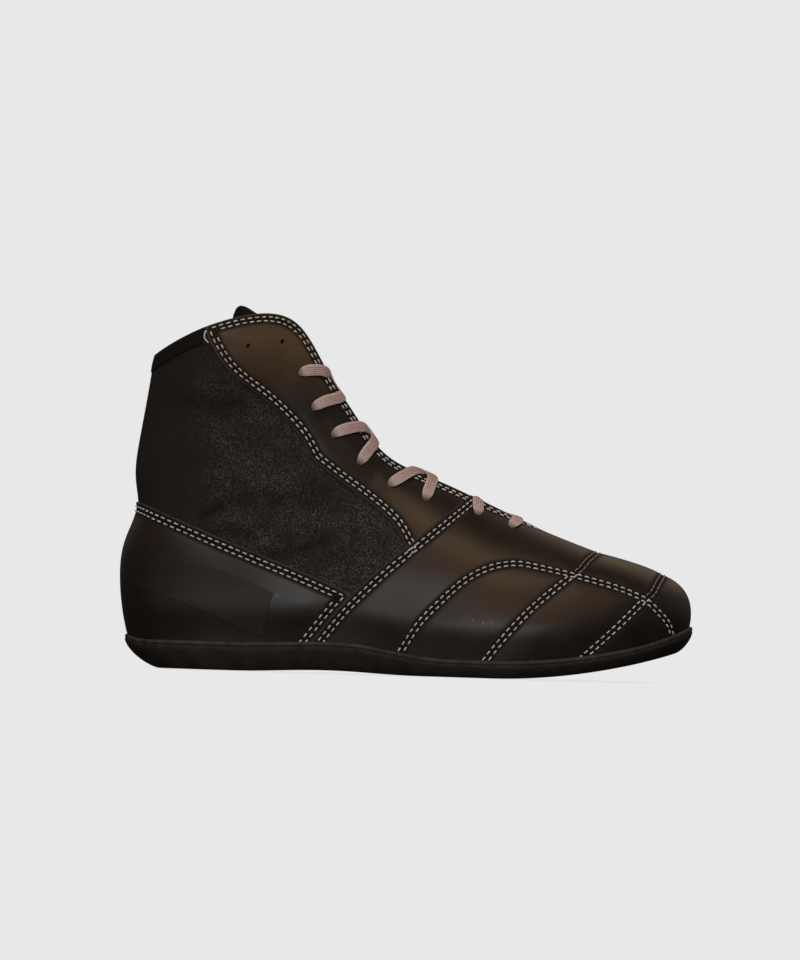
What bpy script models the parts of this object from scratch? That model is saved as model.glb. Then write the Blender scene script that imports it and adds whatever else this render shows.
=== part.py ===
"""Boxing shoe for the right foot, standing empty on its sole.

A cup sole carries one hollow upper.  Leather overlays (vamp, heel counter and
two eyestays), a bound collar, a padded tongue, an insole and a flat lace go
around it.  All of them are drawn from one surface, the last, which is lofted
through the sections of the LAST table.

Lengths here are millimetres, and meshes are made in metres.  +X runs from heel
to toe, -Y is the outer (lateral) side of the right foot, and +Z is up.
"""

import math
from collections import namedtuple

import bmesh
import bpy
import numpy as np

MM = 0.001

# Driving dimensions: the shoe's length, the last's width at the ball of the foot,
# and the height of the shaft's front corner
SHOE_LENGTH = 286.6
BALL_WIDTH = 88.0
SHAFT_HEIGHT = 178.0

# Thicknesses and clearances
WALL = 2.0
OVERLAY = 1.2
BINDING = 0.8
GAP = 0.3
SEAT = 1.4
SEAM_GAP = 0.4
INSOLE = 3.0
TONGUE_GAP = 0.6

# Sole: thickness of its floor, height of its rim, and how its underside is rounded
HEEL_FLOOR = 7.0
FORE_FLOOR = 4.0
HEEL_RIM = 14.2
FORE_RIM = 7.6
HEEL_RIM_LIFT = 3.2
TOE_RIM_LIFT = 5.0
RIM = 1.6
RIM_BEVEL = 0.7
ARCH_RISE = 1.4
TOE_SPRING = 17.5
SPRING_POWER = 1.95
SIDE_ROUND = 3.0
HEEL_ROUND = 15.0
TOE_ROUND = 6.0
ROUND_POWER = 1.5
END_FOCUS = 3
SIDE_STEPS = (0.0, 0.1, 0.3, 0.6, 1.0)

# Where the sole changes along its length, in per cent of the shoe's length
ARCH = (20.0, 52.5)
STEP_DOWN = (39.0, 58.5)
SPRING_FROM = 65.0
TOE_LIFT_FROM = 88.0
HEEL_LIFT_TO = 5.6

# How finely the forms are faceted
AROUND = 64
UP_THE_WALL = 10
CURVE_STEPS = 2
SHARP_ANGLE = math.radians(40)

# Sections of the last, toe to heel.  Forward values are per cent of the shoe's length,
# sideways values per cent of the ball width, heights per cent of the shaft's height.
# Each section's wall rises from the sole to the topline on a curve with two handles:
# low_* leaves the sole point, high_* leaves the topline point.
Section = namedtuple(
    "Section",
    "name sole_x sole_lateral sole_medial low_forward low_out low_up"
    " high_forward high_out high_down top_x top_axis top_half top_z",
)
LAST = [
    Section("toe_tip", 98.2, -10.2, 10.2, 4.2, 0, 21.9, 16.7, 0, 11.8, 72.9, 4.5, 0, 41.0),
    Section("toe_corner", 95.0, 21.5, 35.0, 2.2, 6.8, 20.8, 15.4, 11.4, 11.0, 72.3, 4.5, 4.1, 41.5),
    Section("toe_side", 86.5, 39.2, 46.0, 0.7, 5.7, 20.2, 9.8, 21.6, 8.4, 70.8, 4.5, 7.3, 42.7),
    Section("ball", 69.8, 51.1, 48.9, 0, 4.5, 23.6, 2.1, 19.3, 6.7, 64.9, 4.0, 10.2, 47.0),
    Section("joint_back", 57.2, 47.7, 41.5, 0, 3.4, 25.8, 0.7, 19.3, 7.9, 54.4, 3.4, 11.9, 54.4),
    Section("waist", 44.7, 40.9, 34.1, 0, 2.3, 25.8, -0.7, 19.3, 8.4, 45.4, 2.3, 13.6, 61.2),
    Section("arch_back", 33.5, 36.4, 32.4, 0, 2.3, 27.0, -3.1, 19.3, 9.0, 39.4, 1.7, 14.8, 73.0),
    Section("heel_front", 23.7, 34.4, 33.3, 0, 1.7, 28.1, -4.9, 17.0, 10.1, 34.2, 1.1, 16.5, 85.7),
    Section("heel_side", 15.4, 33.6, 33.0, -0.7, 1.7, 29.2, -5.6, 14.8, 16.9, 29.5, 0.6, 21.0, 97.0),
    Section("heel_turn", 8.6, 28.0, 28.0, -2.5, 3.4, 28.1, -4.6, 2.3, 28.1, 23.2, 0, 33.6, 99.9),
    Section("heel_corner", 4.4, 17.0, 17.0, -4.5, 4.0, 25.8, -2.4, -2.3, 33.0, 11.5, 0, 34.1, 94.2),
    Section("heel_back", 2.8, 0, 0, -5.7, 0, 24.2, -2.3, 0, 32.6, 4.6, 0, 0, 87.5),
]

# The hollow above the heel, where the wall draws in behind the ankle
HOLLOW_DEPTH = 5.2
HOLLOW_HEIGHT = 78.0
HOLLOW_SPREAD = 15.0
HOLLOW_REACH = 26.0

# Panel edges in the side view: per cent of the shoe's length, per cent of the shaft's height.
# The counter and the eyestays end at two numbered points of the vamp's edge.
VAMP_EDGE = [(32.0, 3.0), (34.6, 9.0), (39.7, 19.4), (45.1, 28.7), (49.8, 35.7), (60.4, 50.4), (67.0, 60.0)]
COUNTER_JUNCTION = 2
EYESTAY_JUNCTION = 4
COUNTER_EDGE = [(-4.0, 47.8), (2.0, 46.0), (11.7, 40.5), (24.1, 31.9), (39.7, 19.4)]
EYESTAY_SHAFT_EDGE = [(13.4, 100.0), (14.2, 92.9), (17.9, 83.8), (25.1, 74.9), (30.1, 67.0), (33.4, 58.4)]
EYESTAY_INSTEP_EDGE = [(33.4, 58.4), (39.4, 52.2), (46.6, 43.3), (49.8, 35.7)]

# The throat's middle line, where the two eyestays part, and how far cutters run past the shoe
THROAT_MIDDLE = 2.0
CUTTER_REACH = 40.0

# Lace holes in the side view, in the same units, from the toe up; the last two are not laced
LACE_HOLES = [
    (67.6, 42.1), (61.7, 45.4), (52.6, 49.3), (46.3, 52.9), (40.9, 59.1),
    (36.2, 66.7), (32.6, 74.1), (30.1, 83.8), (26.7, 92.4), (20.9, 91.0),
]
HOLE_RADIUS = 2.0
HOLE_SIDES = 8
PUNCH_DEPTH = 5.0

# The collar's tape, folded over the edge behind the eyestays
BINDING_WIDTH = 8.5
BINDING_FROM = (12.9, 94.5)

# Tongue: how far it reaches under the eyestays, as (share of the way up the throat, reach),
# how far it follows the throat towards its top corner, and its padded tip leaning back
TONGUE_FRONT_LAP = 12.0
TONGUE_LAPS = [(0.0, 4.0), (0.3, 14.0), (0.8, 14.0), (1.0, 6.0)]
TONGUE_RISE = 0.6
TONGUE_ROWS = 12
TONGUE_ACROSS = 7
TONGUE_THICK = 4.5
TONGUE_EDGE = 1.5
TONGUE_CROWN = 1.0
TONGUE_SWELL = (0.0, 0.3)
TongueTip = namedtuple("TongueTip", "x z half drop thick")
TONGUE_TIP = [
    TongueTip(80.5, 170.0, 16.5, 4.5, 5.5),
    TongueTip(70.5, 176.0, 18.0, 5.0, 6.5),
    TongueTip(61.5, 180.2, 18.0, 4.0, 6.5),
    TongueTip(54.5, 182.0, 13.0, 2.5, 6.0),
]

# Flat lace
LACE_CROSSINGS = 4
LACE_WIDTH = 6.0
LACE_THICK = 1.3
LACE_ROUND = 0.6
LACE_BEND_SHARE = 0.22
LACE_DIP = 0.8
LACE_GAP = 1.3


def along_length(percent):
    """A forward place or distance, from per cent of the shoe's length."""
    return np.asarray(percent, float) * SHOE_LENGTH / 100


def side_point(point):
    """A point of the side view, from per cent of length and of shaft height."""
    return np.array([point[0] * SHOE_LENGTH, point[1] * SHAFT_HEIGHT]) / 100


def ramp(low, high, value):
    """The share of the way from low to high, held between 0 and 1."""
    return np.clip((np.asarray(value, float) - low) / (high - low), 0.0, 1.0)


def tread_height(x):
    """Underside of the sole: flat at heel and ball, with an arch and a toe spring."""
    arch = ramp(*along_length(ARCH), x)
    spring = ramp(along_length(SPRING_FROM), SHOE_LENGTH, x)
    return ARCH_RISE * np.sin(math.pi * arch) ** 2 + TOE_SPRING * spring**SPRING_POWER


def heel_share(x):
    """1 under the heel, easing to 0 under the ball."""
    down = ramp(*along_length(STEP_DOWN), x)
    return 1.0 - down * down * (3.0 - 2.0 * down)


def floor_height(x):
    """Inside of the cup, which the upper and the insole stand on."""
    return tread_height(x) + FORE_FLOOR + (HEEL_FLOOR - FORE_FLOOR) * heel_share(x)


def rim_height(x):
    """Top of the cup's rim, higher round the heel and at the toe bumper."""
    heel = HEEL_RIM_LIFT * (1.0 - ramp(0.0, along_length(HEEL_LIFT_TO), x)) ** 2
    toe = TOE_RIM_LIFT * ramp(along_length(TOE_LIFT_FROM), SHOE_LENGTH, x) ** 2
    return tread_height(x) + FORE_RIM + (HEEL_RIM - FORE_RIM) * heel_share(x) + heel + toe


class ClosedSpline:
    """Periodic cubic spline through rows of values at rising knots."""

    def __init__(self, knots, rows, period):
        self.knots = np.append(knots, period)
        self.rows = np.vstack([rows, rows[:1]])
        self.period = period
        count = len(rows)
        step = np.diff(self.knots)
        slope = np.diff(self.rows, axis=0) / step[:, None]
        matrix = np.zeros((count, count))
        right = np.zeros_like(rows)
        for i in range(count):
            before, after = step[i - 1], step[i]
            matrix[i, i - 1] += after
            matrix[i, i] += 2.0 * (before + after)
            matrix[i, (i + 1) % count] += before
            right[i] = 3.0 * (after * slope[i - 1] + before * slope[i])
        tangents = np.linalg.solve(matrix, right)
        self.tangents = np.vstack([tangents, tangents[:1]])

    def __call__(self, where):
        where = np.mod(where, self.period)
        i = np.searchsorted(self.knots, where, "right") - 1
        step = self.knots[i + 1] - self.knots[i]
        t = ((where - self.knots[i]) / step)[..., None]
        step = step[..., None]
        return (
            (1 + 2 * t) * (1 - t) ** 2 * self.rows[i]
            + t * (1 - t) ** 2 * step * self.tangents[i]
            + t * t * (3 - 2 * t) * self.rows[i + 1]
            + t * t * (t - 1) * step * self.tangents[i + 1]
        )


def section_controls(row, side):
    """Control points of one section's wall, sole to topline; side is -1 lateral, +1 medial."""
    unit = np.array([SHOE_LENGTH, BALL_WIDTH, SHAFT_HEIGHT]) / 100
    sole_out = row.sole_lateral if side < 0 else row.sole_medial
    sole = unit * [row.sole_x, side * sole_out, 0.0]
    sole[2] = floor_height(sole[0]) + SEAT
    top = unit * [row.top_x, row.top_axis + side * row.top_half, row.top_z]
    low = sole + unit * [row.low_forward, side * row.low_out, row.low_up]
    high = top + unit * [row.high_forward, side * row.high_out, -row.high_down]
    return np.array([sole, low, high, top])


class LastForm:
    """Outer face of the upper: u runs round the foot from the toe, v from sole to topline."""

    def __init__(self):
        lateral = np.array([section_controls(row, -1) for row in LAST])
        medial = np.array([section_controls(row, 1) for row in LAST])
        steps = np.linalg.norm(np.diff(lateral, axis=0), axis=-1)
        half = np.concatenate([[0.0], np.cumsum((steps[:, 0] + steps[:, 3]) / 2)])
        self.knots = half
        self.half = half[-1]
        self.length = 2 * half[-1]
        knots = np.concatenate([half, self.length - half[-2:0:-1]])
        rows = np.concatenate([lateral, medial[-2:0:-1]])
        self.controls = ClosedSpline(knots, rows.reshape(len(rows), -1), self.length)

    def knot(self, name):
        """The u of a named section, lateral side."""
        return self.knots[[row.name for row in LAST].index(name)]

    def face(self, u, v):
        """Points of the outer face."""
        u, v = np.broadcast_arrays(np.asarray(u, float), np.asarray(v, float))
        sole, low, high, top = np.split(self.controls(u), 4, axis=-1)
        t = v[..., None]
        points = (1 - t) ** 3 * sole + 3 * (1 - t) ** 2 * t * low + 3 * (1 - t) * t**2 * high + t**3 * top
        rise = (points[..., 2] - HOLLOW_HEIGHT) / HOLLOW_SPREAD
        reach = (np.mod(u, self.length) - self.half) / HOLLOW_REACH
        points[..., 0] += HOLLOW_DEPTH * np.exp(-(rise**2) - reach**2)
        return points

    def normal(self, u, v):
        """Outward unit normals, from small steps on the face."""
        u, v = np.broadcast_arrays(np.asarray(u, float), np.asarray(v, float))
        step = 1e-3
        along = self.face(u + step, v) - self.face(u - step, v)
        up = self.face(u, np.minimum(v + step, 1.0)) - self.face(u, np.maximum(v - step, 0.0))
        out = np.cross(up, along)
        return out / np.linalg.norm(out, axis=-1, keepdims=True)

    def at(self, u, v, out=0.0):
        """Points at a distance outside the face."""
        return self.face(u, v) + out * self.normal(u, v)

    def below_edge(self, u, distance):
        """The v that lies a short distance down the wall from the topline."""
        part = 0.1
        length = np.linalg.norm(self.face(u, 1.0 - part) - self.face(u, 1.0), axis=-1)
        return 1.0 - part * distance / length

    def at_height(self, u, height):
        """The v at which the wall reaches a height near the sole."""
        step = 0.01
        v = np.zeros(np.shape(u))
        for _ in range(6):
            here = self.face(u, v)[..., 2]
            v = v + step * (height - here) / (self.face(u, v + step)[..., 2] - here)
        return v

    def locate(self, x, z):
        """The u and v of the lateral point that shows at x, z in the side view."""
        centre = np.array([self.half / 2, 0.6])
        reach = np.array([self.half / 2, 0.4])
        for _ in range(6):
            low, high = centre - reach, np.minimum(centre + reach, [self.half, 1.0])
            u, v = np.meshgrid(*np.linspace(low, high, 33).T, indexing="ij")
            miss = np.sum((self.face(u, v)[..., [0, 2]] - [x, z]) ** 2, axis=-1)
            best = np.unravel_index(np.argmin(miss), miss.shape)
            centre = np.array([u[best], v[best]])
            reach = reach / 8
        return centre


FORM = LastForm()


def material(name, colour, roughness):
    """A plain Principled finish."""
    made = bpy.data.materials.new(name)
    made.use_nodes = True
    shader = made.node_tree.nodes["Principled BSDF"]
    shader.inputs["Base Color"].default_value = (*colour, 1.0)
    shader.inputs["Roughness"].default_value = roughness
    shader.inputs["Metallic"].default_value = 0.0
    return made


def add_solid(name, points, faces, finish):
    """A mesh object from points in millimetres, with its faces turned outwards."""
    mesh = bpy.data.meshes.new(name)
    mesh.from_pydata((np.asarray(points) * MM).tolist(), [], faces)
    shell = bmesh.new()
    shell.from_mesh(mesh)
    bmesh.ops.recalc_face_normals(shell, faces=shell.faces)
    shell.to_mesh(mesh)
    shell.free()
    mesh.shade_smooth()
    mesh.set_sharp_from_angle(angle=SHARP_ANGLE)
    solid = bpy.data.objects.new(name, mesh)
    bpy.context.collection.objects.link(solid)
    mesh.materials.append(finish)
    return solid


def as_cutter(solid):
    """Marks a solid as a tool that only shapes others."""
    solid.hide_render = True
    solid.display_type = "WIRE"
    return solid


def cut(solid, cutter, operation):
    """Shapes a solid with a cutter."""
    step = solid.modifiers.new(cutter.name, "BOOLEAN")
    step.operation = operation
    step.solver = "EXACT"
    step.object = cutter


def band_faces(rings, count, closed):
    """Quads between successive rings of points; closed rings join their ends."""
    faces = []
    for r in range(rings - 1):
        for i in range(count if closed else count - 1):
            j = (i + 1) % count
            faces.append([r * count + i, r * count + j, (r + 1) * count + j, (r + 1) * count + i])
    return faces


def curve_through(points):
    """A smooth line through points, with a few steps between each two."""
    p = np.asarray(points, float)
    p = np.vstack([2 * p[0] - p[1], p, 2 * p[-1] - p[-2]])
    line = []
    for a, b, c, d in zip(p, p[1:], p[2:], p[3:]):
        for t in np.arange(CURVE_STEPS) / CURVE_STEPS:
            bend = (2 * a - 5 * b + 4 * c - d) * t**2 + (3 * b - a - 3 * c + d) * t**3
            line.append(b + ((c - a) * t + bend) / 2)
    return np.array(line + [p[-2]])


def grid_u():
    """The places round the last where every form has its vertices."""
    return np.arange(AROUND) * FORM.length / AROUND


def add_shell(name, inner_out, outer_out, finish):
    """The closed shell between two offsets of the last, right round it.

    Both faces are split along the same diagonals, so that shells at different offsets stay parallel.
    """
    u = grid_u()
    heights = np.linspace(0.0, 1.0, UP_THE_WALL + 1)
    outer = np.vstack([FORM.at(u, v, outer_out) for v in heights])
    inner = np.vstack([FORM.at(u, v, inner_out) for v in heights])
    count = len(outer)
    faces = []
    for a, b, c, d in band_faces(len(heights), AROUND, True):
        faces += [[a, b, c], [a, c, d]]
        faces += [[count + a, count + c, count + b], [count + a, count + d, count + c]]
    for rim in (0, count - AROUND):
        for i in range(AROUND):
            a, b = rim + i, rim + (i + 1) % AROUND
            faces.append([a, b, count + b, count + a])
    return add_solid(name, np.vstack([outer, inner]), faces, finish)


def add_prism(name, outline, y_from, y_to, finish):
    """A cutter with a side-view outline, running across the shoe."""
    near = np.column_stack([outline[:, 0], np.full(len(outline), y_from), outline[:, 1]])
    far = np.column_stack([outline[:, 0], np.full(len(outline), y_to), outline[:, 1]])
    count = len(outline)
    faces = band_faces(2, count, True)
    faces.append(list(range(count)))
    faces.append(list(range(count, 2 * count)))
    return as_cutter(add_solid(name, np.vstack([near, far]), faces, finish))


def panel_line(*stretches):
    """A panel edge in the side view; each stretch is smooth, with corners between them."""
    lines = [curve_through([side_point(p) for p in stretch]) for stretch in stretches]
    return np.vstack([lines[0]] + [line[1:] for line in lines[1:]])


def add_panel_cutters(finish):
    """Prisms with the panels' side-view outlines, wider than the shoe."""
    wide = BALL_WIDTH
    low, high = -CUTTER_REACH, SHAFT_HEIGHT + CUTTER_REACH
    front = SHOE_LENGTH + CUTTER_REACH
    vamp = panel_line(VAMP_EDGE)
    seam = vamp - [SEAM_GAP, 0.0]
    heel_seam = seam[: COUNTER_JUNCTION * CURVE_STEPS + 1]
    instep_seam = seam[EYESTAY_JUNCTION * CURVE_STEPS :]
    counter = panel_line(COUNTER_EDGE)[:-1]
    eyestay = panel_line(EYESTAY_SHAFT_EDGE, EYESTAY_INSTEP_EDGE)[:-1]
    vamp_outline = np.vstack([vamp, [[front, vamp[-1, 1]], [front, low], [vamp[0, 0], low]]])
    counter_outline = np.vstack([counter, heel_seam[::-1], [[heel_seam[0, 0], low], [counter[0, 0], low]]])
    eyestay_outline = np.vstack([eyestay, instep_seam, [[instep_seam[-1, 0], high], [eyestay[0, 0], high]]])
    panels = {
        "vamp": (vamp_outline, -wide, wide),
        "heel_counter": (counter_outline, -wide, wide),
        "eyestay_lateral": (eyestay_outline, -wide, THROAT_MIDDLE),
        "eyestay_medial": (eyestay_outline, THROAT_MIDDLE, wide),
    }
    return {name: add_prism(f"{name}_outline", *panel, finish) for name, panel in panels.items()}


def add_overlay(name, outline, finish):
    """A leather panel: a shell over the upper, kept only inside its outline."""
    panel = add_shell(name, GAP, GAP + OVERLAY, finish)
    cut(panel, outline, "INTERSECT")
    return panel


def hole_places():
    """The u and v of every lace hole, lateral side."""
    return [FORM.locate(*side_point(hole)) for hole in LACE_HOLES]


def add_hole_punches(finish):
    """Round punches through the wall at every lace hole, both sides, as one cutter."""
    turn = 2 * math.pi * np.arange(HOLE_SIDES) / HOLE_SIDES
    points, faces = [], []
    for u, v in hole_places():
        for place in (u, FORM.length - u):
            centre, out = FORM.face(place, v), FORM.normal(place, v)
            across = np.cross(out, [0.0, 0.0, 1.0])
            across /= np.linalg.norm(across)
            circle = np.outer(np.cos(turn), across) + np.outer(np.sin(turn), np.cross(out, across))
            start = 2 * HOLE_SIDES * (len(faces) // (HOLE_SIDES + 2))
            points.append(centre + HOLE_RADIUS * circle - PUNCH_DEPTH * out)
            points.append(centre + HOLE_RADIUS * circle + PUNCH_DEPTH * out)
            ends = [list(range(HOLE_SIDES)), list(range(HOLE_SIDES, 2 * HOLE_SIDES))]
            for face in band_faces(2, HOLE_SIDES, True) + ends:
                faces.append([start + n for n in face])
    return as_cutter(add_solid("lace_hole_punches", np.vstack(points), faces, finish))


def cross_strips(start):
    """Faces across a ring, joining each lateral point to its medial partner."""
    half = AROUND // 2
    faces = [[start, start + 1, start + AROUND - 1]]
    for i in range(1, half - 1):
        faces.append([start + i, start + i + 1, start + AROUND - i - 1, start + AROUND - i])
    faces.append([start + half - 1, start + half, start + half + 1])
    return faces


def stacked_rings(name, rings, finish):
    """A solid from closed rings, bottom to top, closed across its first and last ring."""
    faces = band_faces(len(rings), AROUND, True)
    faces += cross_strips(0) + cross_strips((len(rings) - 1) * AROUND)
    return add_solid(name, np.vstack(rings), faces, finish)


def add_outsole(finish):
    """The cup sole: rounded tread, side wall, bevelled rim, and the seat inside."""
    u = grid_u()
    seat = GAP + OVERLAY + GAP
    rim_v = np.zeros(AROUND)
    for _ in range(4):
        rim_v = FORM.at_height(u, rim_height(FORM.face(u, rim_v)[:, 0]))
    away = FORM.normal(u, rim_v)[:, :2]
    away /= np.linalg.norm(away, axis=1, keepdims=True)
    inner = FORM.at(u, rim_v, seat)[:, :2]
    outline = inner + RIM * away
    inset = SIDE_ROUND + HEEL_ROUND * np.clip(-away[:, 0], 0, 1) ** END_FOCUS
    inset += TOE_ROUND * np.clip(away[:, 0], 0, 1) ** END_FOCUS
    tread = outline - inset[:, None] * away
    low = tread_height(tread[:, 0])
    top = FORM.face(u, rim_v)[:, 2]
    edge = top - 2 * RIM_BEVEL
    rings = []
    for share in SIDE_STEPS:
        out = (1.0 - (1.0 - share) ** ROUND_POWER) ** (1 / ROUND_POWER)
        rings.append(np.column_stack([tread + (out * inset)[:, None] * away, low + share * (edge - low)]))
    rings.append(np.column_stack([outline - RIM_BEVEL * away, top]))
    rings.append(np.column_stack([inner, top]))
    foot = FORM.at(u, 0.0, seat)[:, :2]
    rings.append(np.column_stack([foot, floor_height(foot[:, 0])]))
    return stacked_rings("outsole", rings, finish)


def add_insole(finish):
    """The footbed, just inside the upper's foot."""
    edge = FORM.at(grid_u(), 0.0, -WALL - GAP)[:, :2]
    bottom = floor_height(edge[:, 0]) + GAP
    rings = [np.column_stack([edge, bottom]), np.column_stack([edge, bottom + INSOLE])]
    return stacked_rings("insole", rings, finish)


def add_collar_binding(finish):
    """Tape folded over the collar's edge, round the heel from eyestay to eyestay."""
    first = FORM.locate(*side_point(BINDING_FROM))[0]
    step = FORM.length / AROUND
    u = np.arange(math.floor(first / step), AROUND - math.floor(first / step) + 1) * step
    low = FORM.below_edge(u, BINDING_WIDTH)
    near, far = GAP, GAP + BINDING
    rise = np.array([0.0, 0.0, 1.0])
    strands = [
        FORM.at(u, low, far), FORM.at(u, 1.0, far) + far * rise,
        FORM.at(u, 1.0, -WALL - far) + far * rise, FORM.at(u, low, -WALL - far),
        FORM.at(u, low, -WALL - near), FORM.at(u, 1.0, -WALL - near) + near * rise,
        FORM.at(u, 1.0, near) + near * rise, FORM.at(u, low, near),
    ]
    rings = np.stack(strands, axis=1)
    share = first / step - math.floor(first / step)
    rings[0] += share * (rings[1] - rings[0])
    rings[-1] += share * (rings[-2] - rings[-1])
    count = len(strands)
    faces = band_faces(len(u), count, True)
    for start in (0, (len(u) - 1) * count):
        for a, b, c, d in ((0, 1, 6, 7), (1, 2, 5, 6), (2, 3, 4, 5)):
            faces.append([start + a, start + b, start + c, start + d])
    return add_solid("collar_binding", rings.reshape(-1, 3), faces, finish)


def tongue_rows():
    """Rows of points across the tongue, their normals and thicknesses, from its base to its tip."""
    out = -WALL - TONGUE_GAP
    across = np.linspace(-1.0, 1.0, TONGUE_ACROSS)
    thick = TONGUE_EDGE + (TONGUE_THICK - TONGUE_EDGE) * (1 - across**2)
    start, corner = FORM.knot("toe_corner"), FORM.knot("heel_side")
    stop = corner - (1.0 - TONGUE_RISE) * (corner - FORM.knot("heel_front"))
    front = across * -start
    front_v = FORM.below_edge(front, TONGUE_FRONT_LAP)
    rows = [(FORM.at(front, front_v, out), FORM.normal(front, front_v), thick)]
    for share in np.linspace(0.0, 1.0, TONGUE_ROWS):
        u = start + share * (stop - start)
        lap = np.interp(share, *np.transpose(TONGUE_LAPS))
        v = FORM.below_edge(u, lap * np.array([1.0, 0.5, 0.0]))
        lateral, medial = FORM.at(u, v, out), FORM.at(FORM.length - u, v, out)
        lateral_n, medial_n = FORM.normal(u, v), FORM.normal(FORM.length - u, v)
        up = lateral_n[2] + medial_n[2]
        up /= np.linalg.norm(up)
        middle = (lateral[2] + medial[2]) / 2 + TONGUE_CROWN * ramp(*TONGUE_SWELL, share) * up
        points = np.vstack([lateral, [middle], medial[::-1]])
        rows.append((points, np.vstack([lateral_n, [up], medial_n[::-1]]), thick))
    spine = np.array([[tip.x, tip.z] for tip in TONGUE_TIP])
    along = np.gradient(spine, axis=0)
    along /= np.linalg.norm(along, axis=1, keepdims=True)
    for tip, (forward, rise) in zip(TONGUE_TIP, along):
        up = np.array([rise, 0.0, -forward])
        points = np.array([tip.x, 0.0, tip.z]) - np.outer(tip.drop * across**2, up)
        points[:, 1] = tip.half * across
        body = TONGUE_EDGE + (tip.thick - TONGUE_EDGE) * (1 - across**4)
        rows.append((points, np.tile(up, (TONGUE_ACROSS, 1)), body))
    return rows


def add_tongue(finish):
    """The padded tongue, bridging the throat under the eyestays."""
    rows = tongue_rows()
    rings = []
    for points, normals, thick in rows:
        inner = points - thick[:, None] * normals
        rings.append(np.vstack([points, inner[::-1]]))
    count = len(rings[0])
    faces = band_faces(len(rings), count, True)
    for start in (0, (len(rings) - 1) * count):
        for i in range(count // 2 - 1):
            faces.append([start + i, start + i + 1, start + count - 2 - i, start + count - 1 - i])
    return add_solid("tongue", np.vstack(rings), faces, finish)


def add_strap(name, lateral_hole, medial_hole, finish):
    """A flat length of lace from a lateral hole over the tongue to a medial hole."""
    lift = GAP + OVERLAY + LACE_GAP + LACE_THICK / 2
    (u_a, v_a), (u_b, v_b) = lateral_hole, medial_hole
    path, normals = [], []
    for share in (0.0, 0.5, 1.0):
        u = u_a + share * LACE_BEND_SHARE * (u_b - u_a)
        v = v_a + share * (1.0 - v_a)
        path.append(FORM.at(u, v, lift))
        normals.append(FORM.normal(u, v))
    for share in (1.0, 0.5, 0.0):
        u = FORM.length - u_b - share * LACE_BEND_SHARE * (u_a - u_b)
        v = v_b + share * (1.0 - v_b)
        path.append(FORM.at(u, v, lift))
        normals.append(FORM.normal(u, v))
    up = normals[2] + normals[3]
    up /= np.linalg.norm(up)
    path.insert(3, (path[2] + path[3]) / 2 - LACE_DIP * up)
    normals.insert(3, up)
    line, tops = curve_through(path), curve_through(normals)
    along = np.gradient(line, axis=0)
    side = np.cross(along, tops)
    side /= np.linalg.norm(side, axis=1, keepdims=True)
    tops = np.cross(side, along)
    tops /= np.linalg.norm(tops, axis=1, keepdims=True)
    w, t, r = LACE_WIDTH / 2, LACE_THICK / 2, LACE_ROUND
    section = [(-w, 0), (-w + r, t), (w - r, t), (w, 0), (w - r, -t), (-w + r, -t)]
    rings = np.stack([line + a * side + b * tops for a, b in section], axis=1)
    count = len(section)
    faces = band_faces(len(line), count, True)
    faces.append(list(range(count)))
    faces.append(list(range((len(line) - 1) * count, len(line) * count)))
    return add_solid(name, rings.reshape(-1, 3), faces, finish)


def add_lace_crossings(finish):
    """The crossings, each joining two neighbouring pairs of holes."""
    holes = hole_places()
    crossings = []
    for number in range(LACE_CROSSINGS):
        low, high = holes[2 * number : 2 * number + 2]
        over = add_strap(f"lace_cross_{number + 1}", low, high, finish)
        under = as_cutter(add_strap(f"lace_under_{number + 1}", high, low, finish))
        cut(over, under, "UNION")
        crossings.append(over)
    return crossings


def stand_at_origin(solids):
    """Parents the solids to an empty that centres the shoe over the origin."""
    view = bpy.context.evaluated_depsgraph_get()
    corners = np.array([corner[:] for solid in solids for corner in solid.evaluated_get(view).bound_box])
    centre = (corners.min(axis=0) + corners.max(axis=0)) / 2
    root = bpy.data.objects.new("boxing_shoe", None)
    bpy.context.collection.objects.link(root)
    root.location = (-centre[0], -centre[1], 0.0)
    return root


def main():
    for old in list(bpy.data.objects):
        bpy.data.objects.remove(old)
    leather = material("black_leather", (0.02, 0.017, 0.014), 0.42)
    rubber = material("black_rubber", (0.016, 0.015, 0.014), 0.7)
    textile = material("black_textile", (0.018, 0.018, 0.018), 0.9)
    padding = material("dark_green_lining", (0.012, 0.018, 0.014), 0.9)
    cotton = material("mauve_cotton", (0.47, 0.31, 0.29), 0.85)

    punches = add_hole_punches(leather)
    upper = add_shell("upper", -WALL, 0.0, textile)
    cut(upper, punches, "DIFFERENCE")
    solids = [upper]
    for name, outline in add_panel_cutters(leather).items():
        panel = add_overlay(name, outline, leather)
        if name != "heel_counter":
            cut(panel, punches, "DIFFERENCE")
        solids.append(panel)
    solids += [add_outsole(rubber), add_insole(padding), add_tongue(padding)]
    solids += [add_collar_binding(textile)] + add_lace_crossings(cotton)

    root = stand_at_origin(solids)
    for thing in list(bpy.data.objects):
        if thing is not root:
            thing.parent = root


main()
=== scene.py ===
"""Looks of a right-foot boxing shoe: leather, canvas, rubber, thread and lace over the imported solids.

The file is laid out as an add-on.  Properties hold the sizes and colours that a user would change,
one operator makes each piece or group of like pieces, and a panel in the sidebar lists them.
Tables are in millimetres or in per cent of the shoe, and meshes are made in metres.  +X runs from
heel to toe, -Y is the outer (lateral) side of the right foot, and +Z is up.
"""

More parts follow.
